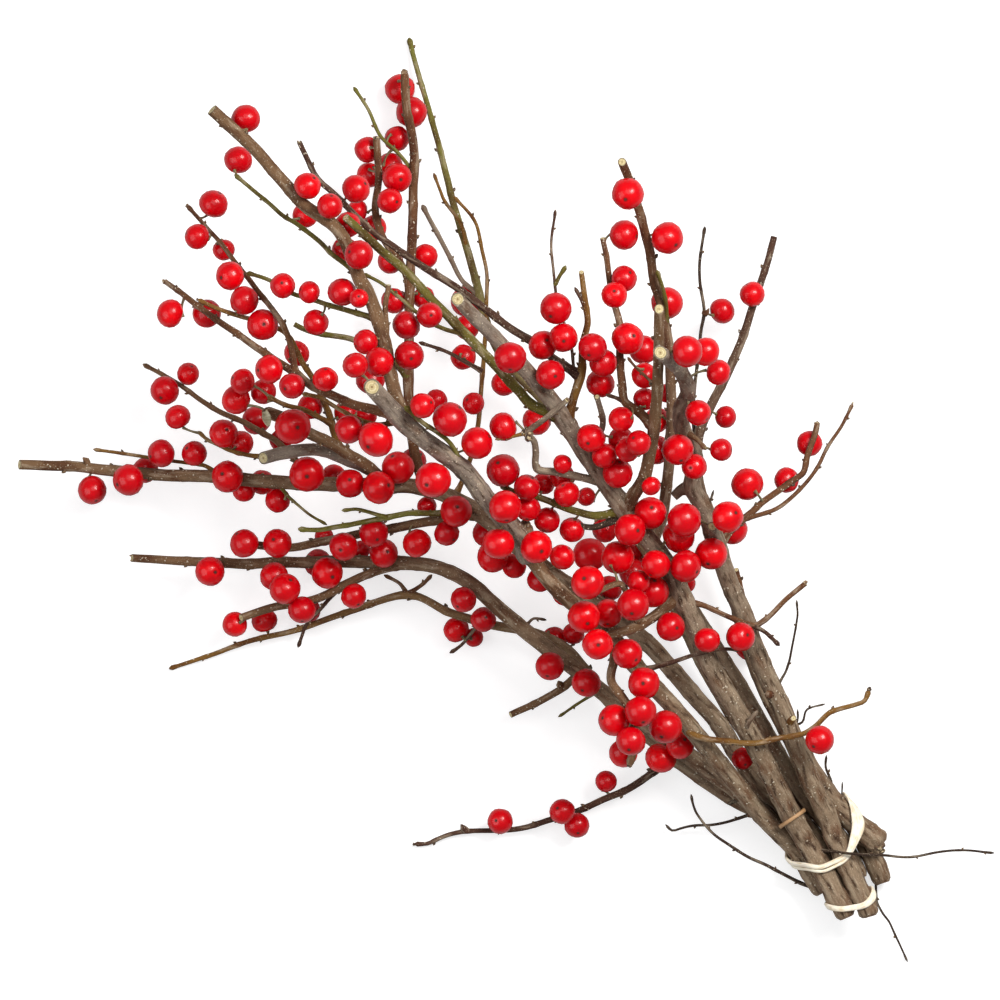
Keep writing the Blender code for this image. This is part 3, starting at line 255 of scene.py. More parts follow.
# ---- The side shoots ----
# A shoot's key is its parent's key and one letter. Then: radius at the fork and at the tip, height of the
# tip, and the plan points (x, y) it runs through, the first of them beside the fork. A third number is the
# height there; the other heights lie between.
SHOOTS = {
    "1a": (1.35, 1.2, 17, [(-30, -19), (-37, -21.5), (-45, -24.5), (-55, -29.5), (-67, -32), (-78, -35.5)]),
    "1aa": (0.6, 0.5, 4, [(-47, -25.5), (-54, -32.5), (-57.5, -36), (-59.5, -40.5), (-61, -44.5)]),
    "1b": (0.5, 0.35, 3, [(78, -94), (69, -97), (60, -98.5), (52, -100), (50, -98)]),
    "1c": (0.6, 0.35, 16, [(97, -118), (92, -116.5), (85, -113), (71, -105), (63.6, -100), (59, -94),
                           (57.6, -88.7)]),
    "1d": (0.4, 0.35, 15, [(6, -38), (10, -36), (14, -36.2)]),
    "2a": (3.0, 2.5, 108, [(9, -17), (4, -9), (-4, 0), (-11, 9), (-20, 16), (-29, 23.5), (-38, 33.5)]),
    "2aa": (2.1, 1.8, 72, [(-28, 22), (-31, 31), (-34.5, 47), (-38.5, 59.5), (-42, 66), (-48, 80),
        (-60, 89.5),
                           (-72, 103.5), (-86, 116.5)]),
    "2aaa": (0.8, 0.6, 52, [(-41, 63), (-44.5, 69), (-49, 73), (-59, 81.5), (-66.5, 86.7), (-79.5, 97.5)]),
    "2aab": (0.9, 0.6, 58, [(-36, 53), (-47, 57), (-54, 59), (-61, 61.3), (-69.5, 65.7), (-76, 68)]),
    "2aac": (0.9, 0.8, 88, [(-34, 45), (-33.9, 55.5), (-33.2, 64)]),
    "2ab": (1.5, 0.8, 38, [(-31, 25), (-38, 27), (-46, 29.5), (-54, 33), (-61, 37.5), (-71.5, 44.8),
                           (-78, 49.2), (-85, 54), (-92.5, 59.5), (-100.7, 65.7)]),
    "2aba": (1.0, 0.6, 34, [(-58, 41), (-64.5, 51), (-73.5, 63.6), (-79.5, 71), (-84, 77), (-89, 82.5),
                            (-94, 88.5)]),
    "2ac": (0.8, 0.6, 70, [(-31, 21), (-36, 22.5), (-43, 24.5), (-49, 27.5), (-54, 30.5), (-59, 31.7)]),
    "2ad": (0.7, 0.7, 106, [(-11, 9), (-14.5, 16), (-18.5, 19.5), (-24, 24), (-28.2, 27.8)]),
    "2b": (1.4, 1.2, 47, [(34, -37), (34, -46), (33, -54), (37.5, -61), (41, -70), (38.8, -79.5)]),
    "2c": (1.0, 0.7, 36, [(55.5, -66.8), (57.5, -70), (61.2, -71.3, 39), (64.8, -72, 39.5), (72, -72.9, 39.5),
                          (79.2, -72.4, 39.5), (87, -71.3), (91, -70), (95, -67.5), (99, -63.7), (105, -62),
                          (109.5, -60.3), (111, -57)]),
    "2d": (0.8, 0.5, 53, [(45, -47), (52, -48.5, 52), (59.5, -46, 55.5), (66, -44.5, 55), (72, -45)]),
    "3a": (2.0, 1.5, 126, [(37, -3), (40, 2), (42.8, 6.5), (45, 16), (46.2, 26), (47, 38), (47.1, 56.5)]),
    "3aa": (1.4, 0.8, 84, [(46, 21), (41, 26.5), (37, 29.5), (36.3, 35), (35.5, 42), (35.6, 52), (34.3, 57),
                           (32.5, 64.5), (31.5, 73), (30.6, 78)]),
    "3ab": (0.45, 0.4, 92, [(46.5, 34), (41, 38.5), (38, 42.5)]),
    "3b": (1.35, 0.8, 92, [(38, 0), (34, 3.5), (28.5, 6), (23.5, 7.2), (16, 8.7), (11, 9.5), (10.7, 14),
                           (10.2, 17.5), (8, 20), (14, 24.5), (20, 29.8)]),
    "3c": (1.3, 0.8, 67, [(36, -3), (29, -4.7), (21, -3), (15, -0.5), (11, 1), (4.5, 2.5), (0, 5)]),
    "3d": (1.6, 1.2, 86, [(17, 25), (9.5, 28), (6, 32), (-3.5, 42), (-12.5, 51.5), (-21, 60.5), (-30, 70),
                          (-36, 75), (-46, 84.2)]),
    "3da": (0.7, 0.5, 84, [(-10, 48), (-19, 52), (-28, 58.5), (-35.5, 64.5), (-41, 67.5)]),
    "3e": (1.4, 0.8, 96, [(19, 23), (21.5, 28), (23, 34), (24.3, 40), (25, 48), (26, 53), (25.5, 58),
                          (24.2, 67.7)]),
    "3ea": (1.3, 0.8, 62, [(23.5, 37), (16, 42), (9, 47), (2.5, 51.5), (-3, 55.5), (-14, 64), (-22, 69),
                           (-32, 75.5), (-38.5, 80.5), (-48.7, 90.5), (-55, 96.5), (-60, 107)]),
    "3eb": (0.5, 0.4, 88, [(23, 35), (21.5, 40), (20.5, 48), (17.5, 57), (16, 66), (15.5, 74), (16.5, 86.5)]),
    "3f": (1.8, 1.3, 60, [(58, -31), (52, -30), (47, -34), (42, -37.5), (36, -39.5), (30, -41)]),
    "3fa": (1.0, 0.9, 72, [(41, -38), (39, -31), (36, -25), (28.5, -27.7)]),
    "3g": (0.8, 0.8, 50, [(57, -29.5), (60.5, -31.5), (66, -34), (72, -36.5), (76, -37.7), (80.5, -35),
                          (86, -29.7), (91.5, -25)]),
    "3ga": (0.6, 0.6, 47, [(76, -38), (79.5, -39.7), (83.8, -43.7)]),
    "3i": (0.45, 0.35, 17, [(93.5, -104.5), (99.5, -106, 18.5), (103, -106.4, 21.2), (106, -106.6, 21.6),
                            (110, -106.8, 20), (115.5, -107, 18.5), (123, -107.4), (137, -105.8),
                            (149, -106.4)]),
    "3h": (1.1, 0.8, 86, [(27, 13), (29.5, 19), (30.7, 23), (29, 31)]),
    "4a": (1.0, 0.9, 40, [(66, -15), (70, -9), (73.5, -5.5), (78, -1), (82, 2), (87, 5.5), (91.2, 8.3),
                          (92.5, 12.5), (94.5, 18.5), (95.2, 23.2)]),
    "4aa": (0.7, 0.5, 24, [(74, -5), (79.5, -4), (84.5, -1.7), (90.5, 3.5), (95, 9), (98.5, 15.5),
        (103, 22.5),
                           (106.2, 29)]),
    "4b": (1.5, 1.4, 74, [(63.6, -11), (63.6, -9.5), (63.3, -7.9)]),
    "4c": (1.5, 1.4, 58, [(57.5, 5), (54, 2.5), (52, 1)]),
    "4d": (0.8, 0.6, 76, [(54.7, 21.5), (57.5, 19), (59.5, 17.3), (61.5, 15)]),
    "4e": (0.4, 0.3, 45, [(82.5, -58), (85, -53), (87, -48), (89.2, -34), (89, -30)]),
    "5a": (0.5, 0.3, 13, [(103, -88), (99.6, -85.5), (98, -80.5), (98.4, -77)]),
    "6a": (1.1, 0.6, 13, [(-57, 4), (-61, 11), (-67, 17.5), (-71, 20), (-78, 24), (-84, 26.5), (-91.5, 31),
                          (-96.5, 34.5), (-107.7, 41)]),
    "6b": (1.8, 1.9, 44, [(-33, 5), (-39, 9), (-45, 12), (-52, 14.5), (-58, 15), (-64.5, 14.3), (-71, 12.6)]),
    "6ba": (1.1, 0.6, 62, [(-46, 12.5), (-49, 18), (-50.8, 23), (-53, 29), (-55.5, 35.5), (-59, 41),
                           (-61.5, 46), (-64.7, 50.5), (-71.5, 53.5), (-79, 55.3), (-84.5, 57), (-90.5, 60)]),
    "6baa": (0.8, 0.7, 60, [(-51, 24), (-57, 26.5), (-64, 28.5), (-69.5, 31)]),
    "6bb": (0.8, 0.5, 30, [(-66, 14), (-72.5, 13.3), (-78.5, 14), (-84, 15.7), (-88, 17.8), (-90.7, 20.7)]),
    "6c": (1.6, 1.3, 15, [(-22, 3.5), (-25, 12), (-27, 24), (-27.3, 40), (-27.2, 60), (-26.5, 78), (-26, 92),
                          (-25.8, 105), (-28, 117), (-28.8, 129)]),
    "6ca": (1.0, 0.8, 14, [(-27, 36), (-34, 44), (-44, 48), (-56.5, 50.5), (-62, 53)]),
    "6cb": (1.1, 1.1, 24, [(-27, 66), (-31, 73), (-35.5, 80), (-37.5, 89), (-36.8, 97), (-37.2, 109)]),
    "6cc": (0.6, 0.5, 9, [(-26, 97), (-30, 103), (-35.5, 109), (-40, 118), (-44.2, 124.7)]),
    "6d": (1.5, 1.2, 22, [(-6, -4), (-12, -4.5), (-20, -6.3), (-33, -8.5), (-52, -12), (-63, -14.3),
                          (-74, -13.5)]),
    "6e": (1.0, 0.7, 38, [(-10, -2), (-20, -3.8), (-27.5, -4), (-34, -5.5), (-43.5, -7), (-49, -8.5),
                          (-54, -9.5), (-60.7, -8.7)]),
    "6ea": (0.6, 0.5, 42, [(-35, -5.7), (-40, -3.7), (-43, -3), (-47.5, -3.2)]),
    "6f": (0.5, 0.4, 32, [(-67, 5), (-63, 1), (-57, -4), (-52, -7.5)]),
    "6g": (0.8, 0.5, 22, [(-15, 1.5), (-10, 8), (-6.8, 20), (-5.5, 35), (-4.6, 45), (-4, 58), (-4.4, 70),
                          (-7, 83), (-14, 91.5)]),
    "6ga": (0.7, 0.5, 26, [(-5.3, 37), (-14, 43.5), (-19, 45.5), (-24.5, 47.5)]),
    "6h": (0.6, 0.5, 13, [(-84, 7), (-89, 10.5), (-101, 12), (-112, 13.7), (-122.7, 15.3)]),
    "6i": (1.6, 1.9, 58, [(-33, 4), (-40, 10.5), (-49.5, 16), (-57, 20), (-64, 24), (-70.3, 26.5)]),
    "7a": (0.7, 0.6, 79, [(50.4, 47), (49.8, 54), (49.4, 59), (48.4, 63.5), (46.8, 68.5)]),
    "8a": (1.2, 0.6, 1, [(53, -78), (45, -83), (39, -87), (27, -92.5), (15, -96.7), (3.5, -99.5),
        (-12, -100.5),
                         (-22, -104), (-26, -104)]),
    "8b": (1.2, 1.0, 7, [(25, -51), (22, -54), (18.5, -57), (14, -59.5), (9, -62), (3.2, -64.8)]),
    "8c": (0.5, 0.4, 4, [(30, -58), (24.5, -61.5), (17.6, -65.5)]),
    "8d": (0.7, 0.5, 14, [(-28, -28.5), (-23.5, -25.5), (-20.5, -22.5)]),
    "8e": (0.6, 0.5, 13, [(-27, -28), (-30.5, -25), (-35, -22.6)]),
    "8f": (0.5, 0.5, 5, [(-7, -37), (-11.5, -43.5), (-15.2, -46.2)]),
    "9a": (0.75, 0.7, 14, [(-7.5, 62), (-11, 66), (-14, 71), (-17.5, 77.5), (-20.5, 83), (-23.5, 89)]),
    "10a": (0.6, 0.45, 14, [(59.6, 10), (58.4, 20), (58.6, 34), (60.7, 48.7), (61.4, 56.5), (60, 66),
                            (60.2, 73), (61.8, 82.5)]),
    "10b": (0.4, 0.3, 1, [(107.6, -113), (113.5, -122), (117, -127.4), (120, -133), (123.2, -139.6)]),
}

# ---- The berries: (x, y, diameter), each growing from the shoot nearest to it, or from the shoot named ----
BERRIES_OVER = [
    (-86, 89, 9), (-91, 79, 8), (-81, 67, 9), (-76, 59, 9), (-65, 64, 8), (-57, 62, 7), (-57.3, 93.7, 8.5),
    (-50.7, 87.6, 8), (-43, 93, 9), (-47, 62, 9), (-42, 73, 9), (-31, 97, 9.4), (-33, 90, 8), (-99, 56, 9),
    (-71, 53.8, 9.8), (-55, 53, 8), (-42, 60, 6), (-69, 39, 9), (-62, 34, 8), (-52, 36, 8), (-78, 36, 8),
    (-79, 30, 9), (-94, 38, 7), (-101, 33, 9), (-97, 25, 8), (-83, 20, 9), (-62, 22, 11), (-102, 14, 9),
    (-92, 14, 8), (-112, 6, 10), (-123, 3, 9), (-82, 7, 10), (-58, 8, 11), (-45, 5, 9), (-45, 21, 9),
    (-21, 55, 8), (-28, 52, 9), (-27, 43, 9), (-40, 47, 8), (-36, 41, 9), (-43, 40, 8), (3, 42, 10),
    (13, 46, 9), (17, 55, 10), (18, 49, 9), (15, 37, 9), (-23, 28, 8), (-15, 24, 11), (-8, 29, 7),
    (-7, 17, 10), (1, 22, 9), (1, 9, 10.4), (-31, 9, 10.4), (-37, 18, 11), (-20, 6, 11), (-36, 4, 10.4),
    (8, 4, 8.4), (38, 91, 10), (37, 79, 9), (50, 78, 10), (37, 66, 8), (34, 61, 8), (28, 45, 9),
    (31, 41, 9), (38, 48, 10), (30, 35, 9), (55, 44, 10), (61, 44, 9), (65, 38, 8), (67, 57, 8),
    (76, 62, 8), (59, 26, 8), (68, 25, 7), (66, 15, 7), (53, 15, 10), (58, 10, 8), (27, 18, 9),
    (36, 24, 8), (36, 18, 8), (41, 17, 8), (31, 13, 8), (34.3, 8, 9.4), (7.8, -2.8, 8), (19, 11, 6),
    (20, 2, 8), (45, 4, 6), (44, -4, 10), (55, -6, 10.8), (53.2, -11.2, 10.4), (55.4, -19.4, 10),
    (46.6, -20, 9), (63, -14.8, 10), (68, -5, 10), (74.1, 4.8, 10.2), (1.2, -2, 10.4), (14, -6, 8),
    (-1, -13, 10), (10, -14, 10), (18, -17, 8), (-13.2, -3.4, 10), (-16, -10, 8), (-25, -13, 9),
    (-38, -9, 9), (-35, -16, 9), (-47, -14, 9), (27, -16.4, 10.6), (35.2, -17.2, 10.4), (39, -9, 10),
    (26.2, -24.6, 10.4), (25, -35, 10), (32, -34, 9), (40, -31, 10), (46, -27, 10), (41.6, -24.6, 7.4),
    (51, -38, 9), (62, -42, 8), (72, -41, 9), (29, -43, 9.6), (38, -46, 9.4), (15, -50, 9), (26, -55, 9),
    (43, -55, 10), (35, -66, 10), (42, -64, 10), (49.6, -68, 10.6), (39, -71, 9.4), (49, -77, 10, "1"),
    (54, -74, 9, "1"), (-77, -13, 9), (-67, -13, 9), (-87.4, -21.5, 9.4), (-68, -23, 9),
    (-64.6, -26.4, 9.8), (-52, -22, 10), (-60, -32.6, 8.6), (-44, -29, 8), (-11, -30, 8), (-5, -36, 8),
    (19, -94, 8), (23, -98, 8), (32, -85, 7), (96, -72, 9), (73, -78, 7, "6"),
]
BERRIES_UNDER = [
    (-83, 75, 7), (-58.2, 85.2, 8), (-43, 87, 7), (-45.6, 81.5, 8), (-47, 75.2, 8), (-30.2, 123.5, 9.5),
    (-27, 117.3, 9.8), (-33, 101, 8), (-88, 56, 9), (-61, 44, 8), (-78, 17, 8), (-66, 18, 7), (-57, 28, 8),
    (-107, 9, 8), (-72, 5, 8), (-77, 3, 7), (-67, 0, 8), (-50, 7, 8), (-46, 26, 8), (-32, 60, 8),
    (-23, 61, 7), (-39, 36, 9), (-10, 60, 10), (-10, 52, 8), (-11, 43, 8), (1, 35, 8), (-19, 30, 7),
    (-26, 12, 8), (-40, 25, 7), (50, 59, 10), (43, 45, 9), (43, 37, 8), (43, 30, 7), (50, 32, 6),
    (47, 24, 8), (47, 15, 9), (38, 15, 8), (19, 7, 8), (26, 1, 6), (13, 5, 7), (70, -9, 9), (86, 6, 8),
    (93, 17, 8), (21.5, -9, 8), (-4, -10, 9), (-2, -17, 10), (4, -20, 8), (41, -15, 9), (40, -22, 9),
    (33, -26.5, 8), (19.5, -28, 8), (31.5, -9, 8), (-42, -15, 6), (-53, -11, 6), (-22, -2, 6),
    (55, -31, 7), (56, -25, 6), (75, -44.6, 8), (16.5, -42, 8), (22, -40.5, 7), (37, -76, 9),
    (-58, -34, 8), (-12, -40, 8), (-9, -41, 6), (0, -97, 8), (-55, -19, 9), (-76, 114, 9),
    (-78.5, 102, 9), (-38, 82, 8), (-40, 105.5, 8), (-39.5, 98, 8), (-31, 109, 8), (-33, 72, 8),
    (-22.5, 73.5, 8), (-80, -37.5, 8), (-71, -37, 8), (11, 23.7, 9), (-73.5, 24, 9), (-71, 32.5, 8),
    (12, -24, 8),
]

# %% [markdown]
# ## Letting the bunch settle
#
# As drawn, the shoots would run through each other. In the real bunch they push each other aside. One could
# simulate that with rigid bodies, but a much lighter way gives the same look. Each shoot becomes a string of
# beads, and each berry one more bead on a short stalk. For a few hundred rounds every pair that is too close
# moves apart, mostly up and down, so that the view from above is kept. After each round the shift is spread
# along the shoot, which keeps it a smooth line, and each berry is drawn back to its stalk's reach.

# %% Curves and the settling
AXIS = np.array([TIE_UPPER[0] - TIE_LOWER[0], TIE_UPPER[1] - TIE_LOWER[1], 0.0])
AXIS /= np.linalg.norm(AXIS)
ACROSS = np.array([AXIS[1], -AXIS[0], 0.0])
UP = np.array([0.0, 0.0, 1.0])


def parent_of(key):
    """The shoot that this one grows from: its key without the last letter."""
    return key[:-1] if key[-1] in SHOOT_LETTERS else None


def smooth_curve(points, step):
    """Points about a step apart along a Catmull-Rom curve through the given points."""
    points = np.array(points, float)
    ends = np.vstack([2 * points[0] - points[1], points, 2 * points[-1] - points[-2]])
    found = []
    for before, start, end, after in zip(ends, ends[1:], ends[2:], ends[3:]):
        pieces = max(1, round(float(np.linalg.norm(end - start)) / step))
        for t in np.arange(pieces) / pieces:
            found.append(0.5 * (2 * start + (end - before) * t
                                + (2 * before - 5 * start + 4 * end - after) * t ** 2
                                + (3 * start - before - 3 * end + after) * t ** 3))
    return np.vstack([found, points[-1:]])


def lengths_along(points):
    """How far along its line each point lies."""
    steps = np.linalg.norm(np.diff(points, axis=0), axis=1)
    return np.concatenate([[0.0], np.cumsum(steps)])


def tapered(points, start_radius, end_radius, power):
    """A radius for each point: it falls slowly at first and faster towards the tip."""
    along = lengths_along(points)
    return end_radius + (start_radius - end_radius) * (1 - (along / along[-1]) ** power)


def main_shoots():
    """Each stem's main shoot: its points, radii, and no parent."""
    shoots = {}
    for key, (radii, run) in STEMS.items():
        points = smooth_curve(run, BEAD_STEP)
        shoots[key] = [points, tapered(points, *radii), None]
    return shoots


def add_side_shoots(shoots):
    """Adds each side shoot, its first point on its parent's own line."""
    for key, (start_radius, end_radius, tip_height, plan) in SHOOTS.items():
        trunk = shoots[parent_of(key)][0]
        fork = int(np.argmin(np.linalg.norm(trunk[:, :2] - plan[0], axis=1)))
        flat = np.array([trunk[fork][:2], *(place[:2] for place in plan[1:])], float)
        along = lengths_along(flat)
        known = {0: trunk[fork][2], len(plan) - 1: tip_height}
        known.update({number: place[2] for number, place in enumerate(plan) if len(place) == 3})
        given = sorted(known)
        heights = np.interp(along, along[given], [known[number] for number in given])
        points = smooth_curve(np.column_stack([flat, heights]), BEAD_STEP)
        shoots[key] = [points, tapered(points, start_radius, end_radius, 1.0), fork]
    return shoots


FLATTEN = (0.3, 0.3, 1.0)  # how much of a push goes sideways, and how much up or down
BEAD_WEIGHT = 6.0  # a bead of wood is this much harder to push than a berry, and thick wood more so
BEYOND_REACH = 40  # what each millimetre that a shoot lies out of a berry's reach costs
FROM_THE_SIDE = 0.12  # how much a berry on top prefers a higher shoot, and one below a lower one
FAR_BRANCH = 1000  # a cost that no other branch can beat
KIN_NEAR, KIN_FAR = 12.0, 14.0  # how near a fork a shoot and its kin may meet
NEAR_MARGIN = 6.0  # how far apart in plan two beads may start and still come to touch
SPREAD_ROUNDS = 2  # how often a shoot's shift is averaged in one round
FORK_FADE = 6.0  # beads over which a shoot follows its fork
HELD_BEADS = 8  # a stem's first beads, which the tie holds


class Settling:
    """Every bead of every shoot, and every berry, eased apart over a set number of rounds."""

    def __init__(self, shoots):
        self.keys = list(shoots)
        self.first = {}
        self.count = {}
        place, radius, owner, stem = [], [], [], []
        for number, key in enumerate(self.keys):
            points, radii, _ = shoots[key]
            self.first[key] = len(place)
            self.count[key] = len(points)
            place += list(points)
            radius += list(radii)
            owner += [number] * len(points)
            stem += [int(key.rstrip(SHOOT_LETTERS))] * len(points)
        self.shoots = shoots
        self.beads = len(place)
        self.place = np.array(place)
        self.radius = np.array(radius)
        self.owner = np.array(owner)
        self.stem = np.array(stem)
        self.anchor = np.zeros(0, int)
        self.hang_berries()
        self.drawn = self.place.copy()
        self.pairs = self.near_pairs()
        # Near the tie the bands keep the stems off the surface.
        along = (self.place[:, :2] - TIE_UPPER) @ AXIS[:2]
        self.floor = self.radius + (BAND_THICK + BAND_GAP + 0.4) * np.clip(2 - np.abs(along + 7) / 16, 0, 1)

    def hang_berries(self):
        """Puts each berry above or below the shoot it grows from, at the plan place it has."""
        centres, radii, anchors = [], [], []
        for side, berries in ((1, BERRIES_OVER), (-1, BERRIES_UNDER)):
            for x, y, diameter, *shoot in berries:
                size = diameter / 2
                away = np.hypot(self.place[:self.beads, 0] - x, self.place[:self.beads, 1] - y)
                reach = size + self.radius + PEDICEL_MOST
                cost = np.maximum(away - reach, 0) * BEYOND_REACH
                cost = cost - side * FROM_THE_SIDE * self.place[:self.beads, 2] + away
                if shoot:
                    cost[self.owner[:self.beads] != self.keys.index(shoot[0])] += FAR_BRANCH
                bead = int(np.argmin(cost))
                touch = size + self.radius[bead] + 0.6
                lift = math.sqrt(max(touch ** 2 - away[bead] ** 2, 0.0))
                centres.append((x, y, max(self.place[bead, 2] + side * lift, size)))
                radii.append(size)
                anchors.append(bead)
        self.place = np.vstack([self.place, centres])
        self.radius = np.concatenate([self.radius, radii])
        self.anchor = np.array(anchors)
        self.owner = np.concatenate([self.owner, self.owner[self.anchor]])
        self.stem = np.concatenate([self.stem, self.stem[self.anchor]])

    def near_pairs(self):
        """The pairs that could come to touch: not neighbours on one shoot, and not a shoot and its fork."""
        flat = self.place[:, :2]
        apart = np.hypot(*(flat[:, None] - flat[None]).transpose(2, 0, 1))
        reach = self.radius[:, None] + self.radius[None] + BARK_GAP + NEAR_MARGIN
        first, second = np.nonzero(np.triu(apart < reach, 1))
        same = (self.owner[first] == self.owner[second]) & (second < self.beads)
        keep = ~same
        for key in SHOOTS:
            child = self.keys.index(key)
            parent = parent_of(key)
            kin = [number for number, other in enumerate(self.keys) if parent in (other, parent_of(other))]
            fork = self.place[self.first[key]]
            for one, other in ((first, second), (second, first)):
                mine = (self.owner[one] == child) & np.isin(self.owner[other], kin)
                mine &= (one < self.beads) & (other < self.beads)
                near = np.linalg.norm(self.place[one] - fork, axis=1) < KIN_NEAR
                near &= np.linalg.norm(self.place[other] - fork, axis=1) < KIN_FAR
                keep &= ~(mine & near)
        return first[keep], second[keep]

    def push_apart(self):
        """Moves each overlapping pair apart, mostly up and down, the lighter one further."""
        one, two = self.pairs
        line = self.place[one] - self.place[two]
        apart = np.linalg.norm(line, axis=1)
        short = self.radius[one] + self.radius[two] + BARK_GAP - apart
        hit = short > 0
        one, two, line, apart, short = one[hit], two[hit], line[hit], apart[hit], short[hit]
        weight = np.where(one < self.beads, BEAD_WEIGHT + BEAD_WEIGHT * self.radius[one], 1.0)
        other = np.where(two < self.beads, BEAD_WEIGHT + BEAD_WEIGHT * self.radius[two], 1.0)
        line = line * FLATTEN + (0, 0, 1e-3)
        line *= (short / np.linalg.norm(line, axis=1))[:, None]
        share = (other / (weight + other))[:, None]
        move = np.zeros_like(self.place)
        hits = np.zeros(len(self.place))
        np.add.at(move, one, line * share)
        np.add.at(move, two, -line * (1 - share))
        np.add.at(hits, one, 1)
        np.add.at(hits, two, 1)
        self.place += move / np.maximum(hits, 1)[:, None] ** 0.5
        return len(short)

    def ease_shoots(self):
        """Spreads each shoot's shift along it, so that it stays a smooth line, and keeps forks joined."""
        for key in self.keys:
            start, count = self.first[key], self.count[key]
            span = slice(start, start + count)
            shift = self.place[span] - self.drawn[span]
            for _ in range(SPREAD_ROUNDS):
                middle = (shift[:-2] + 2 * shift[1:-1] + shift[2:]) / 4
                shift[1:-1] = middle
            fork = self.shoots[key][2]
            if fork is not None:
                parent = self.first[parent_of(key)] + fork
                gap = self.place[parent] - self.drawn[parent] - shift[0]
                fade = np.maximum(1 - np.arange(count) / FORK_FADE, 0)[:, None]
                shift += gap * fade
            else:
                shift[:HELD_BEADS] *= 0.9
            self.place[span] = self.drawn[span] + shift * 0.995

    def hold_berries(self):
        """Keeps each berry within its stalk's reach of the shoot, and near its plan place."""
        berry = np.arange(self.beads, len(self.place))
        flat = self.drawn[berry, :2] + (self.place[self.anchor] - self.drawn[self.anchor])[:, :2]
        self.place[berry, :2] += 0.2 * (flat - self.place[berry, :2])
        line = self.place[berry] - self.place[self.anchor]
        apart = np.linalg.norm(line, axis=1)
        bark = self.radius[berry] + self.radius[self.anchor]
        wanted = np.clip(apart, bark + 0.3, bark + PEDICEL_MOST)
        self.place[berry] += line * ((wanted - apart) / apart)[:, None] * 0.6

    def run(self):
        """Settles the bunch. It returns how many pairs are still a little too close."""
        for _ in range(SETTLE_ROUNDS):
            left = self.push_apart()
            self.ease_shoots()
            self.hold_berries()
            self.place[:, 2] = np.maximum(self.place[:, 2], self.floor)
        return left


settled = Settling(add_side_shoots(main_shoots()))
print("settled", len(settled.keys), "shoots,", len(settled.anchor), "berries, still close:", settled.run())

# %% [markdown]
# ## From beads to living lines
#
# A settled shoot is a smooth string, which looks like wire. Real twigs wander a little, swell where a side
# shoot leaves, have a small knuckle at every bud, and flare into the branch they grow from. All of this is
# worked into the points and radii here, because then every later step, from bark to buds, follows from it.
# A few twigs and spurs too small for the frame are added to the plan too.

# %% Small twigs and spurs: parent, radius at the root and at the tip, then (x, y, rise over the parent)
SPURS = {
    "9s": ("9", 0.6, 0.45, [(-10, 76, 0), (-12, 83, 2), (-16.5, 89.5, 3), (-18, 93, 4), (-20, 98.5, 5)]),
    "3s": ("3", 0.7, 0.6, [(72.4, -71, 2.4), (74.8, -67.3, 5.4), (77.3, -63.2, 6.4)]),
    "3w": ("3eb", 0.5, 0.6, [(17.3, 64, 0.4), (18.4, 66.8, 1.2), (19.6, 69.8, 1.8)]),
    # 3u is wood that lies low in shade between the shoots. Its soot-dark tone, set in TONED, is partly
    # painted shade.
    "3u": ("3", 1.1, 0.8, [(37, -5, 0), (28.6, -7.8, -2), (20.5, -6.8, -4)]),
    "4s": ("4", 1.3, 0.8, [(85.6, -66.5, 0.5), (87.2, -66.2, 3), (88.2, -65.6, 4.2)]),
    "4t": ("4", 1.1, 0.7, [(82.3, -58.2, 0.5), (80.8, -58.4, 3), (80.2, -57.4, 4.2)]),
    "5s": ("5", 0.4, 0.25, [(88, -67.5, 0), (91, -67, 1.5), (92.5, -63.2, 2), (98, -61.4, 2)]),
    "5t": ("5", 0.35, 0.25, [(89.2, -68, 0), (89.7, -66.5, 2.5), (89.6, -63, 3.5)]),
    "10s": ("10", 0.35, 0.2, [(102, -92, 1), (103.5, -90, 3), (103.3, -85, 4)]),
    "4u": ("4", 0.4, 0.3, [(61, -5, 0), (62.7, -2.5, 2.5), (63.9, 3, 4)]),
    "1s": ("1", 0.6, 0.4, [(75, -90, 0), (70.8, -91, 2), (68.6, -91.8, 2)]),
    "3et": ("3e", 0.6, 0.45, [(24.8, 56, 0), (24, 60, 1), (22.2, 63.3, 2)]),
    "3aat": ("3aa", 0.6, 0.45, [(37, 29.5, 0), (34, 30.2, 1), (31.5, 31.5, 2)]),
    "3bt": ("3b", 0.55, 0.4, [(8.5, 20, 0), (3, 18.8, 0.5), (-1.5, 18, 1)]),
    "8at": ("8a", 0.8, 0.5, [(-10.5, -100.3, 0), (-11.3, -99, 1), (-11.8, -98, 1.6)]),
    "8bt": ("8b", 0.8, 0.6, [(19, -57, 0), (18.2, -55.6, 1.2), (17.6, -54.6, 1.6)]),
    "10at": ("10a", 0.6, 0.4, [(61, 56, 0), (62.4, 56.8, 0.8), (63, 57.8, 1.2)]),
    "6s": ("6", 0.8, 0.5, [(-124, 10, 0.5), (-125, 11.8, 1), (-125.8, 12.8, 1.4)]),
    "1t": ("1", 1.0, 0.6, [(78.5, -93.5, 0), (76, -95, 0.8), (74.8, -95.6, 1)]),
}

# %% Drawing one line finely
LINE_STEP = 0.9  # spacing of a finished line's points
CUT_FROM = 0.75  # a tip this thick was cut with secateurs, and a thinner one ends in a bud
SNAPPED = ("2", "2b", "6c", "6i")  # tips that broke long ago, and have healed over with lumps of cork
WANDER_THICK, WANDER_MIDDLE, WANDER_THIN = 0.10, 0.16, 0.24  # how far a line drifts: thin wood drifts most
KNUCKLE = 0.14  # how far a bud's knuckle swells, as a share of the radius
COLLAR = 0.16  # how far a branch swells at a fork, as a share of the side shoot's radius
FLARE = 0.45  # how much wider a side shoot is where it leaves
SHIFT = np.array([-PLAN_CENTRE[0], -PLAN_CENTRE[1], -FLOOR_DROP])


def bump_at(along, place, width):
    """A smooth hump of height 1 along a line."""
    return np.exp(-((along - place) / width) ** 2)


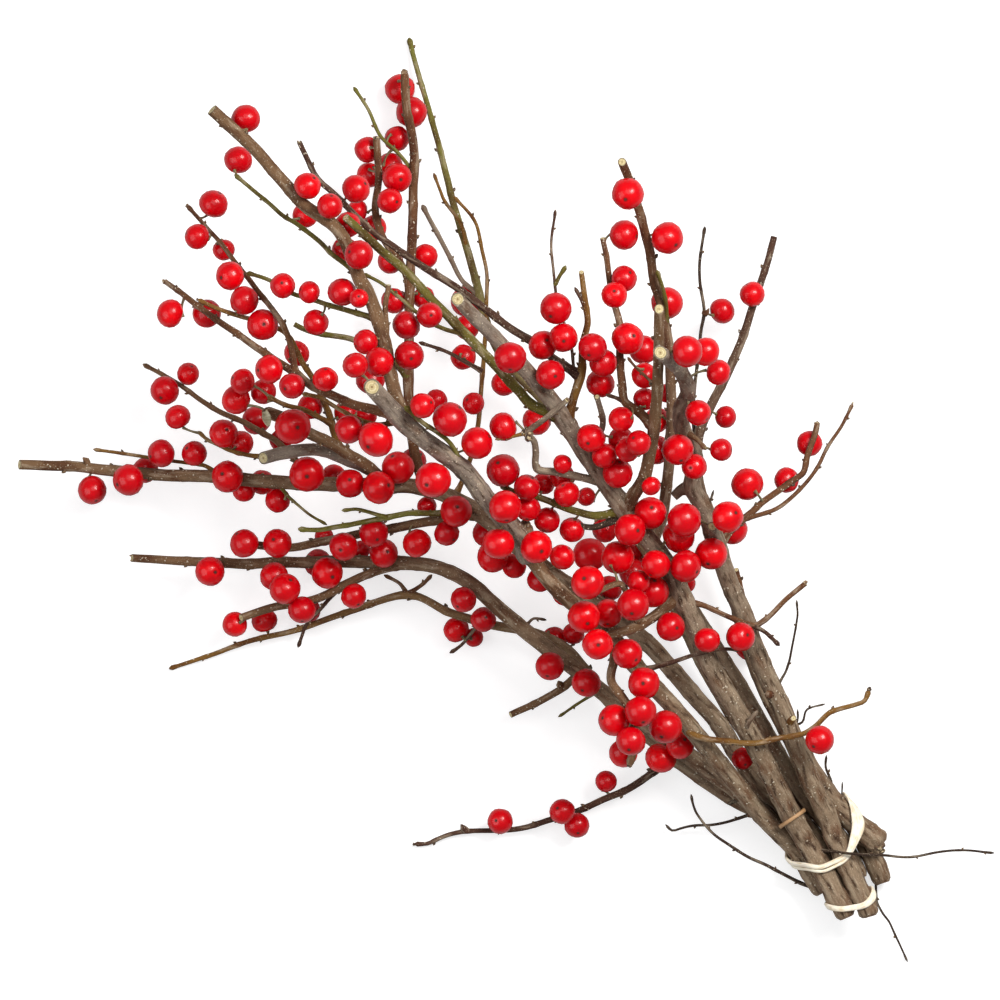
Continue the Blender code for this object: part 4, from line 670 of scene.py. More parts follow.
def wandering(along, chance, reach):
    """A small sideways drift that comes and goes every centimetre or so, and is nothing at both ends."""
    turns = max(3, int(along[-1] / 9) + 2)
    knots = chance.normal(size=(turns, 3)) * reach
    knots[0] = knots[-1] = 0
    return smooth_curve_at(knots, along / along[-1] * (turns - 1))


def plan_number(line, place):
    """Which point of a line lies nearest to a place of the plan."""
    return int(np.argmin(np.linalg.norm(line["points"][:, :2] - (np.array(place) + SHIFT[:2]), axis=1)))


def smooth_curve_at(knots, at):
    """Reads evenly spaced knots at places between them, with a cosine between each two."""
    low = np.minimum(at.astype(int), len(knots) - 2)
    share = ((1 - np.cos(np.pi * (at - low))) / 2)[:, None]
    return knots[low] * (1 - share) + knots[low + 1] * share


def draw_line(key, points, radii, root_radius, forks, chance):
    """A fine line with its girth, its buds and how it ends. Forks are (place, radius of the side shoot)."""
    fine = smooth_curve(np.column_stack([points, radii]), LINE_STEP)
    points, radii = fine[:, :3], fine[:, 3]
    along = lengths_along(points)
    thickest = radii.max()
    drift = WANDER_THICK if thickest > 1.9 else WANDER_MIDDLE if thickest > 1.2 else WANDER_THIN
    points = points + wandering(along, chance, drift)
    if root_radius is not None:  # a side shoot flares into its branch
        radii = radii * (1 + FLARE * np.exp(-np.maximum(along - root_radius, 0) / 1.5))
    for place, side_radius in forks:
        at = along[int(np.argmin(np.linalg.norm(points - place, axis=1)))]
        radii = radii + COLLAR * side_radius * bump_at(along, at, 2.6)
    buds = []
    at = chance.uniform(5, 10)
    side = 1 if chance.random() < 0.5 else -1
    while at < along[-1] - 3:
        number = int(np.searchsorted(along, at))
        thin = float(np.clip(1.9 - radii[number], 0, 1))
        radii = radii * (1 + KNUCKLE * (0.4 + 0.6 * thin) * bump_at(along, at, 0.9))
        if thin > 0.05:
            buds.append((number, side))
        side = -side
        at += chance.uniform(7, 15)
    if root_radius is None:  # a butt that has been handled: its rim is worn round
        radii[:3] *= (0.66, 0.90, 0.98)
    cut = bool(radii[-1] >= CUT_FROM) and key not in ("3c", *SNAPPED)
    if key in SNAPPED:
        radii[-2:] *= (0.95, 0.7)
    elif cut:  # leave room for the slanting cut behind the last point
        keep = (along[-1] - along > 1.5 * radii[-1]) | (along == along[-1])
        points, radii, along = points[keep], radii[keep], along[keep]
    else:  # a terminal bud: it swells and then closes
        radii = radii * (1 + 0.35 * bump_at(along, along[-1] - 1.3, 0.9))
        radii[-1] *= 0.35
    return {"points": points, "radii": radii, "along": along, "cut": cut,
            "buds": [(number, side) for number, side in buds if number < len(points) - 1]}


# %% Drawing them all
SHOOT_SEED, SPUR_SEED = 400, 700
lines = {}
for number, key in enumerate(settled.keys):
    start, count = settled.first[key], settled.count[key]
    forks = []
    for other in settled.keys:
        if parent_of(other) == key:
            fork = settled.place[start + settled.shoots[other][2]] + SHIFT
            forks.append((fork, settled.radius[settled.first[other]]))
    root = None
    if parent_of(key):
        root = settled.radius[settled.first[parent_of(key)] + settled.shoots[key][2]]
    lines[key] = draw_line(key, settled.place[start:start + count] + SHIFT,
                           settled.radius[start:start + count], root, forks,
                           np.random.default_rng(SHOOT_SEED + number))
    lines[key]["stem"] = key.rstrip(SHOOT_LETTERS)
for number, (key, (parent, start_radius, end_radius, plan)) in enumerate(SPURS.items()):
    trunk = lines[parent]["points"]
    flat = np.array([place[:2] for place in plan]) + SHIFT[:2]
    at = plan_number(lines[parent], plan[0][:2])
    heights = trunk[at, 2] + np.array([place[2] for place in plan])
    run = np.vstack([trunk[at], np.column_stack([flat, heights])[1:]])
    radii = np.linspace(start_radius, end_radius, len(run))
    lines[key] = draw_line(key, run, radii, 0.6 * lines[parent]["radii"][at], [],
                           np.random.default_rng(SPUR_SEED + number))
    lines[key]["stem"] = parent.rstrip(SHOOT_LETTERS)
print("drew", len(lines), "lines,", round(sum(line["along"][-1] for line in lines.values())), "mm of wood")

# %% [markdown]
# ## What bark looks like
#
# Old winterberry wood is grey-brown and faintly ridged along its length, with pale corky specks. Last year's
# growth is smoother, olive to ochre, and the thinnest twigs dry almost black. One material can do all of them
# if the colour comes with the wood: each line carries a `tint`. It also carries `straight`, the place on the
# bark as if the twig were pulled straight: millimetres round it in x and y, and along it in z. A pattern on
# `straight` runs with the grain round every bend, which Object coordinates can't do, and it has no seam.

# %% The colours of the shoots
TONES = {"grey": "#84705a", "brown": "#6e5238", "umber": "#634026", "ochre": "#755220", "olive": "#5f561e",
         "green": "#6a6628", "dusk": "#4a3023", "soot": "#36271c", "ash": "#776858", "pale": "#84776a"}
TONED = {
    "pale": "2a 6b",
    "ash": "3b 3h 4b 4c 3s 9a",
    "green": "2ad 6cc 6e 6ea",
    "olive": "3w 6f 3c 7a 8c 6ca 2aab 2aaa 3d 3da",
    "ochre": "2c 3bt 6ba 6baa 6bb 3e 2ac 9s 6g 6h 4s",
    "umber": "3g 6c 6cb 2ab 2aba 3aa 3ab 4a 4aa 4t 10at 8d 8e",
    "dusk": "3ea 8a 8at 2d 3ga 6ga 3eb 3et 3aat 1aa 1d 8f",
    # On 3u the soot tone is partly painted shade. On the other twigs it is their own near-black.
    "soot": "1b 1c 3i 10b 10a 4e 5a 5s 5t 10s 4u 1s 3u",
}
TIP_TONES = {"1": "brown", "2": "brown", "3": "pale", "4": "pale", "5": "umber", "6": "brown", "7": "umber",
             "8": "ochre", "9": "green", "10": "dusk"}
tone_of = {key: tone for tone, keys in TONED.items() for key in keys.split()}
BUTT_KNOBS = {"3": (0.7, 50), "4": (1.1, 50), "5": (2.6, 9)}  # how much knobbier, and how far up


def tints(key, line):
    """The colour at each point of a line: an old stem is grey, and turns to its young tone at the tip."""
    start, end = tone_of.get(key, "brown"), tone_of.get(key, "brown")
    if key in STEMS:
        start, end = "grey", TIP_TONES[key]
    share = np.clip(line["along"] / line["along"][-1] * 1.5 - 0.4, 0, 1)[:, None]
    return (1 - share) * np.array(linear(TONES[start])[:3]) + share * np.array(linear(TONES[end])[:3])


# %% The bark material
def new_material(name):
    """A material and its node tree."""
    made = bpy.data.materials.new(name)
    made.use_nodes = True
    return made, made.node_tree


def paint(tree, colour, settings, relief=None):
    """Wires a material's colour and its relief, which is (height, strength, depth), and sets the rest."""
    shader = tree.nodes["Principled BSDF"]
    tree.links.new(colour, shader.inputs["Base Color"])
    if relief:
        bump = node(tree, "ShaderNodeBump", dict(zip(("Height", "Strength", "Distance"), relief)))
        tree.links.new(bump.outputs["Normal"], shader.inputs["Normal"])
    for name, value in settings.items():
        shader.inputs[name].default_value = value


def attribute(tree, name, output="Fac"):
    """What the mesh carries under a name at the shaded point: a number, or a Color or Vector."""
    return node(tree, "ShaderNodeAttribute", attribute_name=name).outputs[output]


def stretched_noise(tree, place, scales, detail=3.0):
    """Noise on a place whose axes are scaled first: one over the size in millimetres of what it draws."""
    scaled = calc_vector(tree, "MULTIPLY", place, scales)
    return node(tree, "ShaderNodeTexNoise", {"Vector": scaled, "Scale": 1.0, "Detail": detail}).outputs["Fac"]


def object_noise(tree, scale, detail):
    """The same noise on the piece's own coordinates, in metres, and as fine in every direction."""
    return stretched_noise(tree, node(tree, "ShaderNodeTexCoord").outputs["Object"], (scale,) * 3, detail)


def ramp(tree, value, low, high):
    """0 under low, 1 over high, and smooth between."""
    return node(tree, "ShaderNodeMapRange", {"Value": value, "From Min": low, "From Max": high},
                interpolation_type="SMOOTHSTEP").outputs["Result"]


def mixed(tree, share, one, other, blend="MIX"):
    """One colour where the share is 0, the other where it is 1."""
    made = node(tree, "ShaderNodeMix", {0: share, 6: one, 7: other}, data_type="RGBA", blend_type=blend)
    return made.outputs[2]


# Bark is dead, dry and matt: high roughness, no coat. The ridges are in the mesh. The shallow furrows between
# them and the grain are a bump. The furrows of old, thick wood are drawn darker, and young wood's are not.
bark, tree = new_material("winterberry bark, weathered and dry")
tint = attribute(tree, "tint", "Color")
straight = attribute(tree, "straight", "Vector")
streaks = stretched_noise(tree, straight, (0.7, 0.7, 0.14), 5.0)
furrows = stretched_noise(tree, straight, (0.8, 0.8, 0.2), 5.0)
patches = stretched_noise(tree, straight, (0.3, 0.3, 0.12), 3.0)
grain = stretched_noise(tree, straight, (3.4, 3.4, 1.2), 2.0)
flecks = stretched_noise(tree, straight, (3.0, 3.0, 2.2), 1.0)
old = ramp(tree, attribute(tree, "girth"), 1.3 * MM, 3.2 * MM)
warm_share = calc(tree, "MULTIPLY", ramp(tree, patches, 0.46, 0.68), 0.8)
dark_share = calc(tree, "MULTIPLY", ramp(tree, furrows, 0.52, 0.30), old)
pale_share = calc(tree, "MULTIPLY", ramp(tree, streaks, 0.52, 0.66), 0.62)
fleck_share = calc(tree, "MULTIPLY", ramp(tree, flecks, 0.66, 0.72), 0.6)
colour = mixed(tree, warm_share, tint, linear("#b48c70"), "MULTIPLY")
colour = mixed(tree, dark_share, colour, linear("#7c6858"), "MULTIPLY")
colour = mixed(tree, pale_share, colour, mixed(tree, 0.5, tint, linear("#b8a88f")))
colour = mixed(tree, fleck_share, colour, linear("#b9aa92"))
shade = node(tree, "ShaderNodeMapRange", {"Value": grain, "From Min": 0.3, "From Max": 0.7, "To Min": 0.82,
                                          "To Max": 1.18}).outputs["Result"]
paint(tree, calc_vector(tree, "SCALE", colour, shade), {"Roughness": 0.82, "Specular IOR Level": 0.3},
      (calc(tree, "ADD", grain, furrows), 0.6, 0.25 * MM))

# %% [markdown]
# ## Growing bark on the lines
#
# A tube along a path is what Curve to Mesh makes, so the wood is a Geometry Nodes piece: a profile circle is
# swept along each line and scaled by its girth. Thick wood needs more sides than a twig, so the lines are
# sorted into three classes first. Noise on `straight` then lifts the ridges and the knobs along the normals,
# and the last ring of a cut tip leans, as a cut made with secateurs does.

# %% The bark group
CLASS_SIDES = {"Thick sides": 26, "Middle sides": 14, "Thin sides": 9}  # of a tube, for each class of line
bark_group, given, result = new_group("bark on a grown line", [
    *((label, "count") for label in CLASS_SIDES), ("Ridge share", "size"), ("Knob share", "size"),
    ("Bark", "finish")])


def named(tree, name, kind="FLOAT"):
    """A number, or a vector, that each point of the geometry carries under a name."""
    return node(tree, "GeometryNodeInputNamedAttribute", {"Name": name}, data_type=kind).outputs["Attribute"]


def kept(tree, geometry, name, value, kind="FLOAT"):
    """The geometry with a value stored at each point under a name."""
    return node(tree, "GeometryNodeStoreNamedAttribute", {"Geometry": geometry, "Name": name, "Value": value},
                data_type=kind, domain="POINT").outputs["Geometry"]


def position(tree):
    """Where each point of the geometry is."""
    return node(tree, "GeometryNodeInputPosition").outputs[0]


def moved(tree, geometry, offset):
    """The geometry with each point moved by an offset."""
    return node(tree, "GeometryNodeSetPosition", {"Geometry": geometry, "Offset": offset}).outputs["Geometry"]


def hand_over(tree, geometry, finish, result):
    """Ends a group: what it made becomes a real mesh of one material."""
    geometry = node(tree, "GeometryNodeRealizeInstances", {"Geometry": geometry}).outputs["Geometry"]
    geometry = node(tree, "GeometryNodeSetMaterial", {"Geometry": geometry, "Material": finish})
    tree.links.new(geometry.outputs["Geometry"], result["Geometry"])


tree = bark_group
curve = node(tree, "GeometryNodeMeshToCurve", {"Mesh": given["Geometry"]}).outputs["Curve"]
run_length = node(tree, "GeometryNodeSplineParameter").outputs["Length"]
curve = kept(tree, curve, "along", calc(tree, "MULTIPLY_ADD", run_length, 1 / MM, named(tree, "start")))
curve = kept(tree, curve, "core", position(tree), "FLOAT_VECTOR")
swept = node(tree, "GeometryNodeJoinGeometry")
for number, sides in enumerate(CLASS_SIDES):
    circle = node(tree, "GeometryNodeCurvePrimitiveCircle", {"Resolution": given[sides], "Radius": 1.0})
    circle = kept(tree, circle.outputs["Curve"], "ring", position(tree), "FLOAT_VECTOR")
    mine = node(tree, "FunctionNodeCompare", {0: named(tree, "class"), 1: float(number), "Epsilon": 0.1},
                data_type="FLOAT", operation="EQUAL").outputs["Result"]
    sorted_out = node(tree, "GeometryNodeSeparateGeometry", {"Geometry": curve, "Selection": mine},
                      domain="CURVE").outputs["Selection"]
    tube = node(tree, "GeometryNodeCurveToMesh", {
        "Curve": sorted_out, "Profile Curve": circle, "Scale": named(tree, "girth"),
        "Fill Caps": True}).outputs["Mesh"]
    tree.links.new(tube, swept.inputs[0])
around = calc_vector(tree, "SCALE", named(tree, "ring", "FLOAT_VECTOR"), named(tree, "girth"))
around = calc_vector(tree, "SCALE", around, 1 / MM)
along = node(tree, "ShaderNodeCombineXYZ", {"Z": named(tree, "along")}).outputs[0]
geometry = kept(tree, swept.outputs[0], "straight", calc_vector(tree, "ADD", around, along), "FLOAT_VECTOR")
straight = named(tree, "straight", "FLOAT_VECTOR")
core = named(tree, "core", "FLOAT_VECTOR")
ridges = calc(tree, "SUBTRACT", stretched_noise(tree, straight, (0.75, 0.75, 0.10), 3.0), 0.5)
ridges = calc(tree, "MULTIPLY", ridges, given["Ridge share"])
knobs = calc(tree, "SUBTRACT", stretched_noise(tree, straight, (0.28, 0.28, 0.17), 2.0), 0.46)
knobs = calc(tree, "MULTIPLY", knobs, given["Knob share"])
knobs = calc(tree, "MULTIPLY", knobs, named(tree, "knob"))
lift = calc(tree, "MULTIPLY", calc(tree, "ADD", ridges, knobs), named(tree, "girth"))
outward = calc_vector(tree, "NORMALIZE", calc_vector(tree, "SUBTRACT", position(tree), core))
geometry = moved(tree, geometry, calc_vector(tree, "SCALE", outward, lift))
height = calc_vector(tree, "DOT_PRODUCT", calc_vector(tree, "SUBTRACT", position(tree), core),
                     named(tree, "lean_up", "FLOAT_VECTOR"))
geometry = moved(tree, geometry, calc_vector(tree, "SCALE", named(tree, "lean_back", "FLOAT_VECTOR"), height))
geometry = node(tree, "GeometryNodeSetShadeSmooth", {"Geometry": geometry}).outputs["Geometry"]
hand_over(tree, geometry, given["Bark"], result)

# %% Sweeping every stem
THICK_FROM, MIDDLE_FROM = 1.9, 0.9  # the radii at which a line goes up a class
LEAN = 0.55  # how far a cut leans: the tangent of its angle
KNOB_AT_BUTT, KNOB_FADE = 0.35, 0.22  # how knobbly a line is where it starts, and how much of it fades
PATTERN_STEP = 37.0  # how far along the noise each next line of a stem starts, so that no two are alike


def direction(points, number):
    """The unit direction of a line at one of its points."""
    ahead = points[min(number + 1, len(points) - 1)] - points[max(number - 1, 0)]
    return ahead / np.linalg.norm(ahead)


def upward(ahead):
    """The unit vector across a direction that points most nearly up."""
    up = UP - ahead * ahead[2] if abs(ahead[2]) < 0.98 else np.array([1.0, 0, 0])
    return up / np.linalg.norm(up)


def polyline(name, runs, attributes):
    """One mesh of loose lines, with its point attributes, each a list of one array per line."""
    points, edges = [], []
    for run in runs:
        first = len(points)
        points += list(run)
        edges += [(number, number + 1) for number in range(first, len(points) - 1)]
    made = mesh_object(name, points, edges)
    for label, values in attributes.items():
        put_attribute(made, label, np.concatenate(values))
    return made


def line_attributes(key, line, start):
    """What each point of a line tells the bark group."""
    points, radii = line["points"], line["radii"]
    count = len(points)
    size = float(np.median(radii))
    knob = KNOB_AT_BUTT - KNOB_FADE * line["along"] / line["along"][-1]
    values = {"girth": radii * MM, "start": np.full(count, start), "tint": tints(key, line),
              "class": np.full(count, 0.0 if size > THICK_FROM else 1.0 if size > MIDDLE_FROM else 2.0),
              "knob": knob, "lean_up": np.zeros((count, 3)), "lean_back": np.zeros((count, 3))}
    if key in BUTT_KNOBS:
        strength, length = BUTT_KNOBS[key]
        values["knob"] += strength * np.clip(1.6 - 1.6 * line["along"] / length, 0, 1)
    if line["cut"]:
        ahead = direction(points, count - 1)
        values["lean_up"][-1] = upward(ahead)
        values["lean_back"][-1] = -LEAN * ahead
    return values


wood = {}
for stem in STEMS:
    mine = [key for key in lines if lines[key]["stem"] == stem]
    told = [line_attributes(key, lines[key], PATTERN_STEP * number) for number, key in enumerate(mine)]
    source = polyline(f"stem_{stem}_lines", [lines[key]["points"] for key in mine],
                      {label: [values[label] for values in told] for label in told[0]})
    wood[stem] = grown(f"stem_{stem}_wood", source, bark_group,
                       {**CLASS_SIDES, "Ridge share": 0.20, "Knob share": 0.50, "Bark": bark})
print("wood:", {stem: len(piece.data.polygons) for stem, piece in wood.items()})


def add_to_wood(stem, piece):
    """Joins a piece to its stem's wood."""
    wood[stem] = joined(f"stem_{stem}_wood", [wood[stem], piece])

# %% [markdown]
# ## Berries
#
# A winterberry is a smooth, taut ball a little under a centimetre across, with a small dry scar, all that is
# left of the flower, in a shallow dimple opposite the stalk. There are far too many to model one by one, and
# one sphere copied everywhere would look like beads. So four berries are turned, each a little different in
# shape, and a Geometry Nodes group sets copies of them out on marked points, each with its own size, turn
# and ripeness. A berry is seen large enough to show its outline, so it has about two hundred faces, and each
# of the four shapes is used only some fifty times.

# %% The group that sets out copies
copy_group, given, result = new_group("copies at marked points", [("Shape", "shape"), ("Finish", "finish")])
tree = copy_group
shape = node(tree, "GeometryNodeObjectInfo", {"Object": given["Shape"]}).outputs["Geometry"]
turn = named(tree, "turn", "FLOAT_VECTOR")
turn = node(tree, "FunctionNodeEulerToRotation", {"Euler": turn}).outputs["Rotation"]
geometry = node(tree, "GeometryNodeInstanceOnPoints", {
    "Points": given["Geometry"], "Instance": shape, "Rotation": turn,
    "Scale": named(tree, "size", "FLOAT_VECTOR")}).outputs["Instances"]
hand_over(tree, geometry, given["Finish"], result)


def turned_shape(name, profile, sides, lobes=0.0, lobe_count=3):
    """A closed shape turned about z from (radius, height) pairs, bottom to top, its ends on the axis."""
    bm = bmesh.new()
    rings = []
    for radius, height in profile[1:-1]:
        rings.append([])
        for number in range(sides):
            angle = math.tau * number / sides
            wide = radius * (1 + lobes * math.cos(lobe_count * angle + 1.3 * height))
            rings[-1].append(bm.verts.new((wide * math.cos(angle), wide * math.sin(angle), height)))
    bottom, top = (bm.verts.new((0, 0, profile[number][1])) for number in (0, -1))
    for ring, following in zip(rings, rings[1:]):
        for number in range(sides):
            after = (number + 1) % sides
            bm.faces.new((ring[number], ring[after], following[after], following[number]))
    for number in range(sides):
        after = (number + 1) % sides
        bm.faces.new((bottom, rings[0][after], rings[0][number]))
        bm.faces.new((top, rings[-1][number], rings[-1][after]))
    mesh = bpy.data.meshes.new(name)
    bm.to_mesh(mesh)
    bm.free()
    mesh.shade_smooth()
    made = bpy.data.objects.new(name, mesh)
    bpy.context.scene.collection.objects.link(made)
    return made


# %% Four berries and their scar
BERRY_ANGLES = (180, 166, 148, 126, 104, 82, 60, 40, 24, 13, 6, 0)  # from the scar, in degrees
SCAR_HEIGHT = 0.93  # where the scar sits, as a share of the berry's radius


def berry_profile(height, waist):
    """A berry of radius 1: its height over its width, and how low its widest place lies."""
    profile = []
    for degrees in BERRY_ANGLES:
        angle = math.radians(degrees)
        wide = math.sin(angle) * (1 - waist * 0.5 * math.cos(angle))
        tall = math.cos(angle) * height
        if degrees < 90:
            tall *= SCAR_HEIGHT / height * (1 - math.sin(angle)) + math.sin(angle)
            tall -= 0.045 * math.exp(-(degrees / 12) ** 2)
        else:
            tall += 0.07 * math.exp(-((180 - degrees) / 20) ** 2)
        profile.append((wide, tall))
    return profile


BERRY_KINDS = ((0.97, 0.0, 0.012, 3), (0.92, 0.05, 0.018, 4), (1.0, -0.04, 0.015, 2), (0.95, 0.09, 0.02, 5))
SCAR_PROFILE = [(0, 0.85), (0.105, 0.865), (0.085, 0.895), (0.045, 0.90), (0, 0.88)]
berry_shapes = [turned_shape(f"berry_shape_{number}", berry_profile(height, waist), 18, lobes, count)
                for number, (height, waist, lobes, count) in enumerate(BERRY_KINDS)]
scar_shape = turned_shape("scar_shape", SCAR_PROFILE, 10, 0.30, 5)
for shape in berry_shapes:
    points = np.array([vertex.co for vertex in shape.data.vertices])
    put_attribute(shape, "from_scar", np.where(points[:, 2] > 0, np.hypot(points[:, 0], points[:, 1]), 1.0))

# %% [markdown]
# The skin is thin, waxed and very smooth, so each berry carries a sharp reflection of the light over a
# saturated red. Under the skin the flesh scatters light, which lifts the shadow side to a deep crimson
# instead of black. `ripe` is a number for each berry: scarlet at one end and crimson at the other.

# %% Berry skin, scar, stalk and bud
skin, tree = new_material("ripe berry skin, thin and waxed")
red = mixed(tree, attribute(tree, "ripe"), linear("#e0000c"), linear("#b6000f"))
red = mixed(tree, ramp(tree, object_noise(tree, 260.0, 2.0), 0.35, 0.75), red, linear("#c4000e"))
red = mixed(tree, ramp(tree, attribute(tree, "from_scar"), 0.20, 0.07), red, linear("#84100e"))
paint(tree, red, {"Roughness": 0.26, "Specular IOR Level": 0.28, "Coat Weight": 0.16, "Coat Roughness": 0.12,
                  "Subsurface Weight": 0.18, "Subsurface Radius": (1.0, 0.12, 0.08),
                  "Subsurface Scale": 1.2 * MM})

# The scar is five dry sepals round a corky point: nearly black, and rough.
scar, tree = new_material("dried flower scar, corky")
grit = object_noise(tree, 4000.0, 1.0)
paint(tree, mixed(tree, grit, linear("#1d0f0c"), linear("#5a3024")), {"Roughness": 0.9})

# Stalks are green wood that has gone grey-brown, smoother than bark.
stalk, tree = new_material("berry stalk, smooth and drying")
streak = stretched_noise(tree, attribute(tree, "straight", "Vector"), (2.5, 2.5, 0.5), 2.0)
streak = ramp(tree, streak, 0.35, 0.65)
paint(tree, mixed(tree, streak, linear("#5a4f34"), linear("#8b7f5c")), {"Roughness": 0.65})

# Buds are wrapped in small overlapping scales, brown and a little shiny.
bud_scale, tree = new_material("winter bud scales, brown")
speck = ramp(tree, object_noise(tree, 1500.0, 1.0), 0.4, 0.6)
paint(tree, mixed(tree, speck, linear("#3c2b1c"), linear("#6f5433")), {"Roughness": 0.55})

# %% Marking the points and setting out the berries
def turned_to(ahead, chance):
    """Euler angles that take +z to a direction, after a random spin about it."""
    ahead = Vector(ahead).normalized()
    return (ahead.to_track_quat("Z", "Y") @ Quaternion((0, 0, 1), chance.uniform(0, math.tau))).to_euler()


def copies(name, shape, finish, places, turns, sizes, more=None):
    """Copies of a shape at these places, in millimetres, as one plain mesh."""
    source = mesh_object(name + "_marks", places)
    put_attribute(source, "turn", [tuple(turn) for turn in turns])
    put_attribute(source, "size", np.asarray(sizes, float) * MM)
    for label, values in (more or {}).items():
        put_attribute(source, label, values)
    return grown(name, source, copy_group, {"Shape": shape, "Finish": finish})


HANG_SPREAD = 0.42  # how far a berry's axis strays from the line of its stalk
RIPE_MIDDLE, RIPE_SPREAD = 0.42, 0.3  # of `ripe` over the berries
SQUASH = (0.955, 1.0)  # a berry's share of its full size, drawn for each axis
chance = np.random.default_rng(11)
berries = {}
for number, bead in enumerate(settled.anchor):
    centre = settled.place[settled.beads + number] + SHIFT
    radius = float(settled.radius[settled.beads + number])
    key = settled.keys[settled.owner[bead]]
    trunk = lines[key]["points"]
    away = np.linalg.norm(trunk - centre, axis=1)
    foot_number = int(np.argmin(away + 0.5 * np.abs(away - away.min())))
    foot_number = min(max(foot_number, 1), len(trunk) - 2)
    hang = centre - trunk[foot_number]
    hang = hang / np.linalg.norm(hang) + chance.normal(size=3) * HANG_SPREAD
    hang = hang / np.linalg.norm(hang)
    berries.setdefault(key.rstrip(SHOOT_LETTERS), []).append({
        "centre": centre, "radius": radius, "foot": trunk[foot_number], "hang": hang,
        "turn": turned_to(hang, chance),
        "ripe": float(np.clip(chance.normal(RIPE_MIDDLE, RIPE_SPREAD), 0, 1)),
        "squash": chance.uniform(*SQUASH, size=3), "shape": int(chance.integers(len(BERRY_KINDS)))})


def berry_copies(name, shape, finish, chosen):
    """Copies of one shape at the places of these berries."""
    places, turns, ripe = ([berry[part] for berry in chosen] for part in ("centre", "turn", "ripe"))
    sizes = [berry["radius"] * berry["squash"] for berry in chosen]
    return copies(name, shape, finish, places, turns, sizes, {"ripe": ripe})


fruit = {}
for stem, mine in berries.items():
    pieces = []
    for number, shape in enumerate(berry_shapes):
        chosen = [berry for berry in mine if berry["shape"] == number]
        if chosen:
            pieces.append(berry_copies(f"stem_{stem}_berries_{number}", shape, skin, chosen))
    pieces.append(berry_copies(f"stem_{stem}_scars", scar_shape, scar, mine))
    fruit[stem] = joined(f"stem_{stem}_berries", pieces)
print("berries:", {stem: len(mine) for stem, mine in berries.items()})

# %% [markdown]
# ## Stalks, buds and sawn ends
#
# Each berry hangs on a stalk from half to four millimetres long, which bends a little and widens where it
# meets the fruit. It is a short line grown by the bark group, with a smoother finish. Buds sit on the small
# knuckles of the young wood, left and right in turn. A cut tip shows pale wood round a brown pith.

# %% Stalks
STALK_RADII = np.array([0.55, 0.46, 0.38, 0.34, 0.34, 0.40, 0.56])  # from the branch to the fruit
STALK_BEND = 0.10  # how far a stalk bows, as a share of its length
STALK_SIDES = 8
STALK_PATTERN_STEP = 9.0  # how far along the noise each next stalk starts


def stalk_line(berry, chance):
    """The points of a stalk, from inside the branch to the hollow under the berry."""
    end = berry["centre"] - berry["hang"] * 0.9 * berry["radius"]
    run = end - berry["foot"]
    side = np.cross(run, chance.normal(size=3))
    side *= STALK_BEND * np.linalg.norm(run) / max(np.linalg.norm(side), 1e-6)
    shares = np.linspace(0, 1, len(STALK_RADII))
    return berry["foot"] + np.outer(shares, run) + np.outer(np.sin(np.pi * shares), side)


chance = np.random.default_rng(23)
for stem, mine in berries.items():
    drawn = [stalk_line(berry, chance) for berry in mine]
    flat = np.zeros(len(STALK_RADII))
    still = np.zeros((len(STALK_RADII), 3))
    source = polyline(f"stem_{stem}_stalk_lines", drawn, {
        "girth": [STALK_RADII * MM] * len(mine), "class": [flat + 2] * len(mine), "knob": [flat] * len(mine),
        "start": [flat + STALK_PATTERN_STEP * number for number in range(len(mine))],
        "lean_up": [still] * len(mine), "lean_back": [still] * len(mine)})
    add_to_wood(stem, grown(f"stem_{stem}_stalks", source, bark_group, {
        **dict.fromkeys(CLASS_SIDES, STALK_SIDES), "Ridge share": 0.10, "Knob share": 0.0, "Bark": stalk}))

# %% Buds
BUD_PROFILE = [(0, -0.25), (0.72, -0.05), (0.95, 0.28), (0.62, 0.72), (0.2, 0.98), (0, 1.08)]
bud_shape = turned_shape("bud_shape", BUD_PROFILE, 7, 0.10, 2)
chance = np.random.default_rng(31)
buds = {}
for key, line in lines.items():
    for number, side in line["buds"]:
        ahead = direction(line["points"], number)
        across = np.cross(ahead, upward(ahead)) * side + upward(ahead) * chance.uniform(-0.4, 0.7)
        across = across / np.linalg.norm(across)
        radius = line["radii"][number]
        place = line["points"][number] + across * 0.80 * radius  # its foot is sunk in the bark
        wide = (0.30 + 0.22 * radius) * chance.uniform(0.8, 1.15)
        buds.setdefault(line["stem"], []).append(
            (place, turned_to(0.75 * across + 0.75 * ahead, chance), (wide, wide * 0.85, wide * 2.0)))
for stem, mine in buds.items():
    add_to_wood(stem, copies(f"stem_{stem}_buds", bud_shape, bud_scale, *zip(*mine)))
print("buds:", {stem: len(mine) for stem, mine in buds.items()})

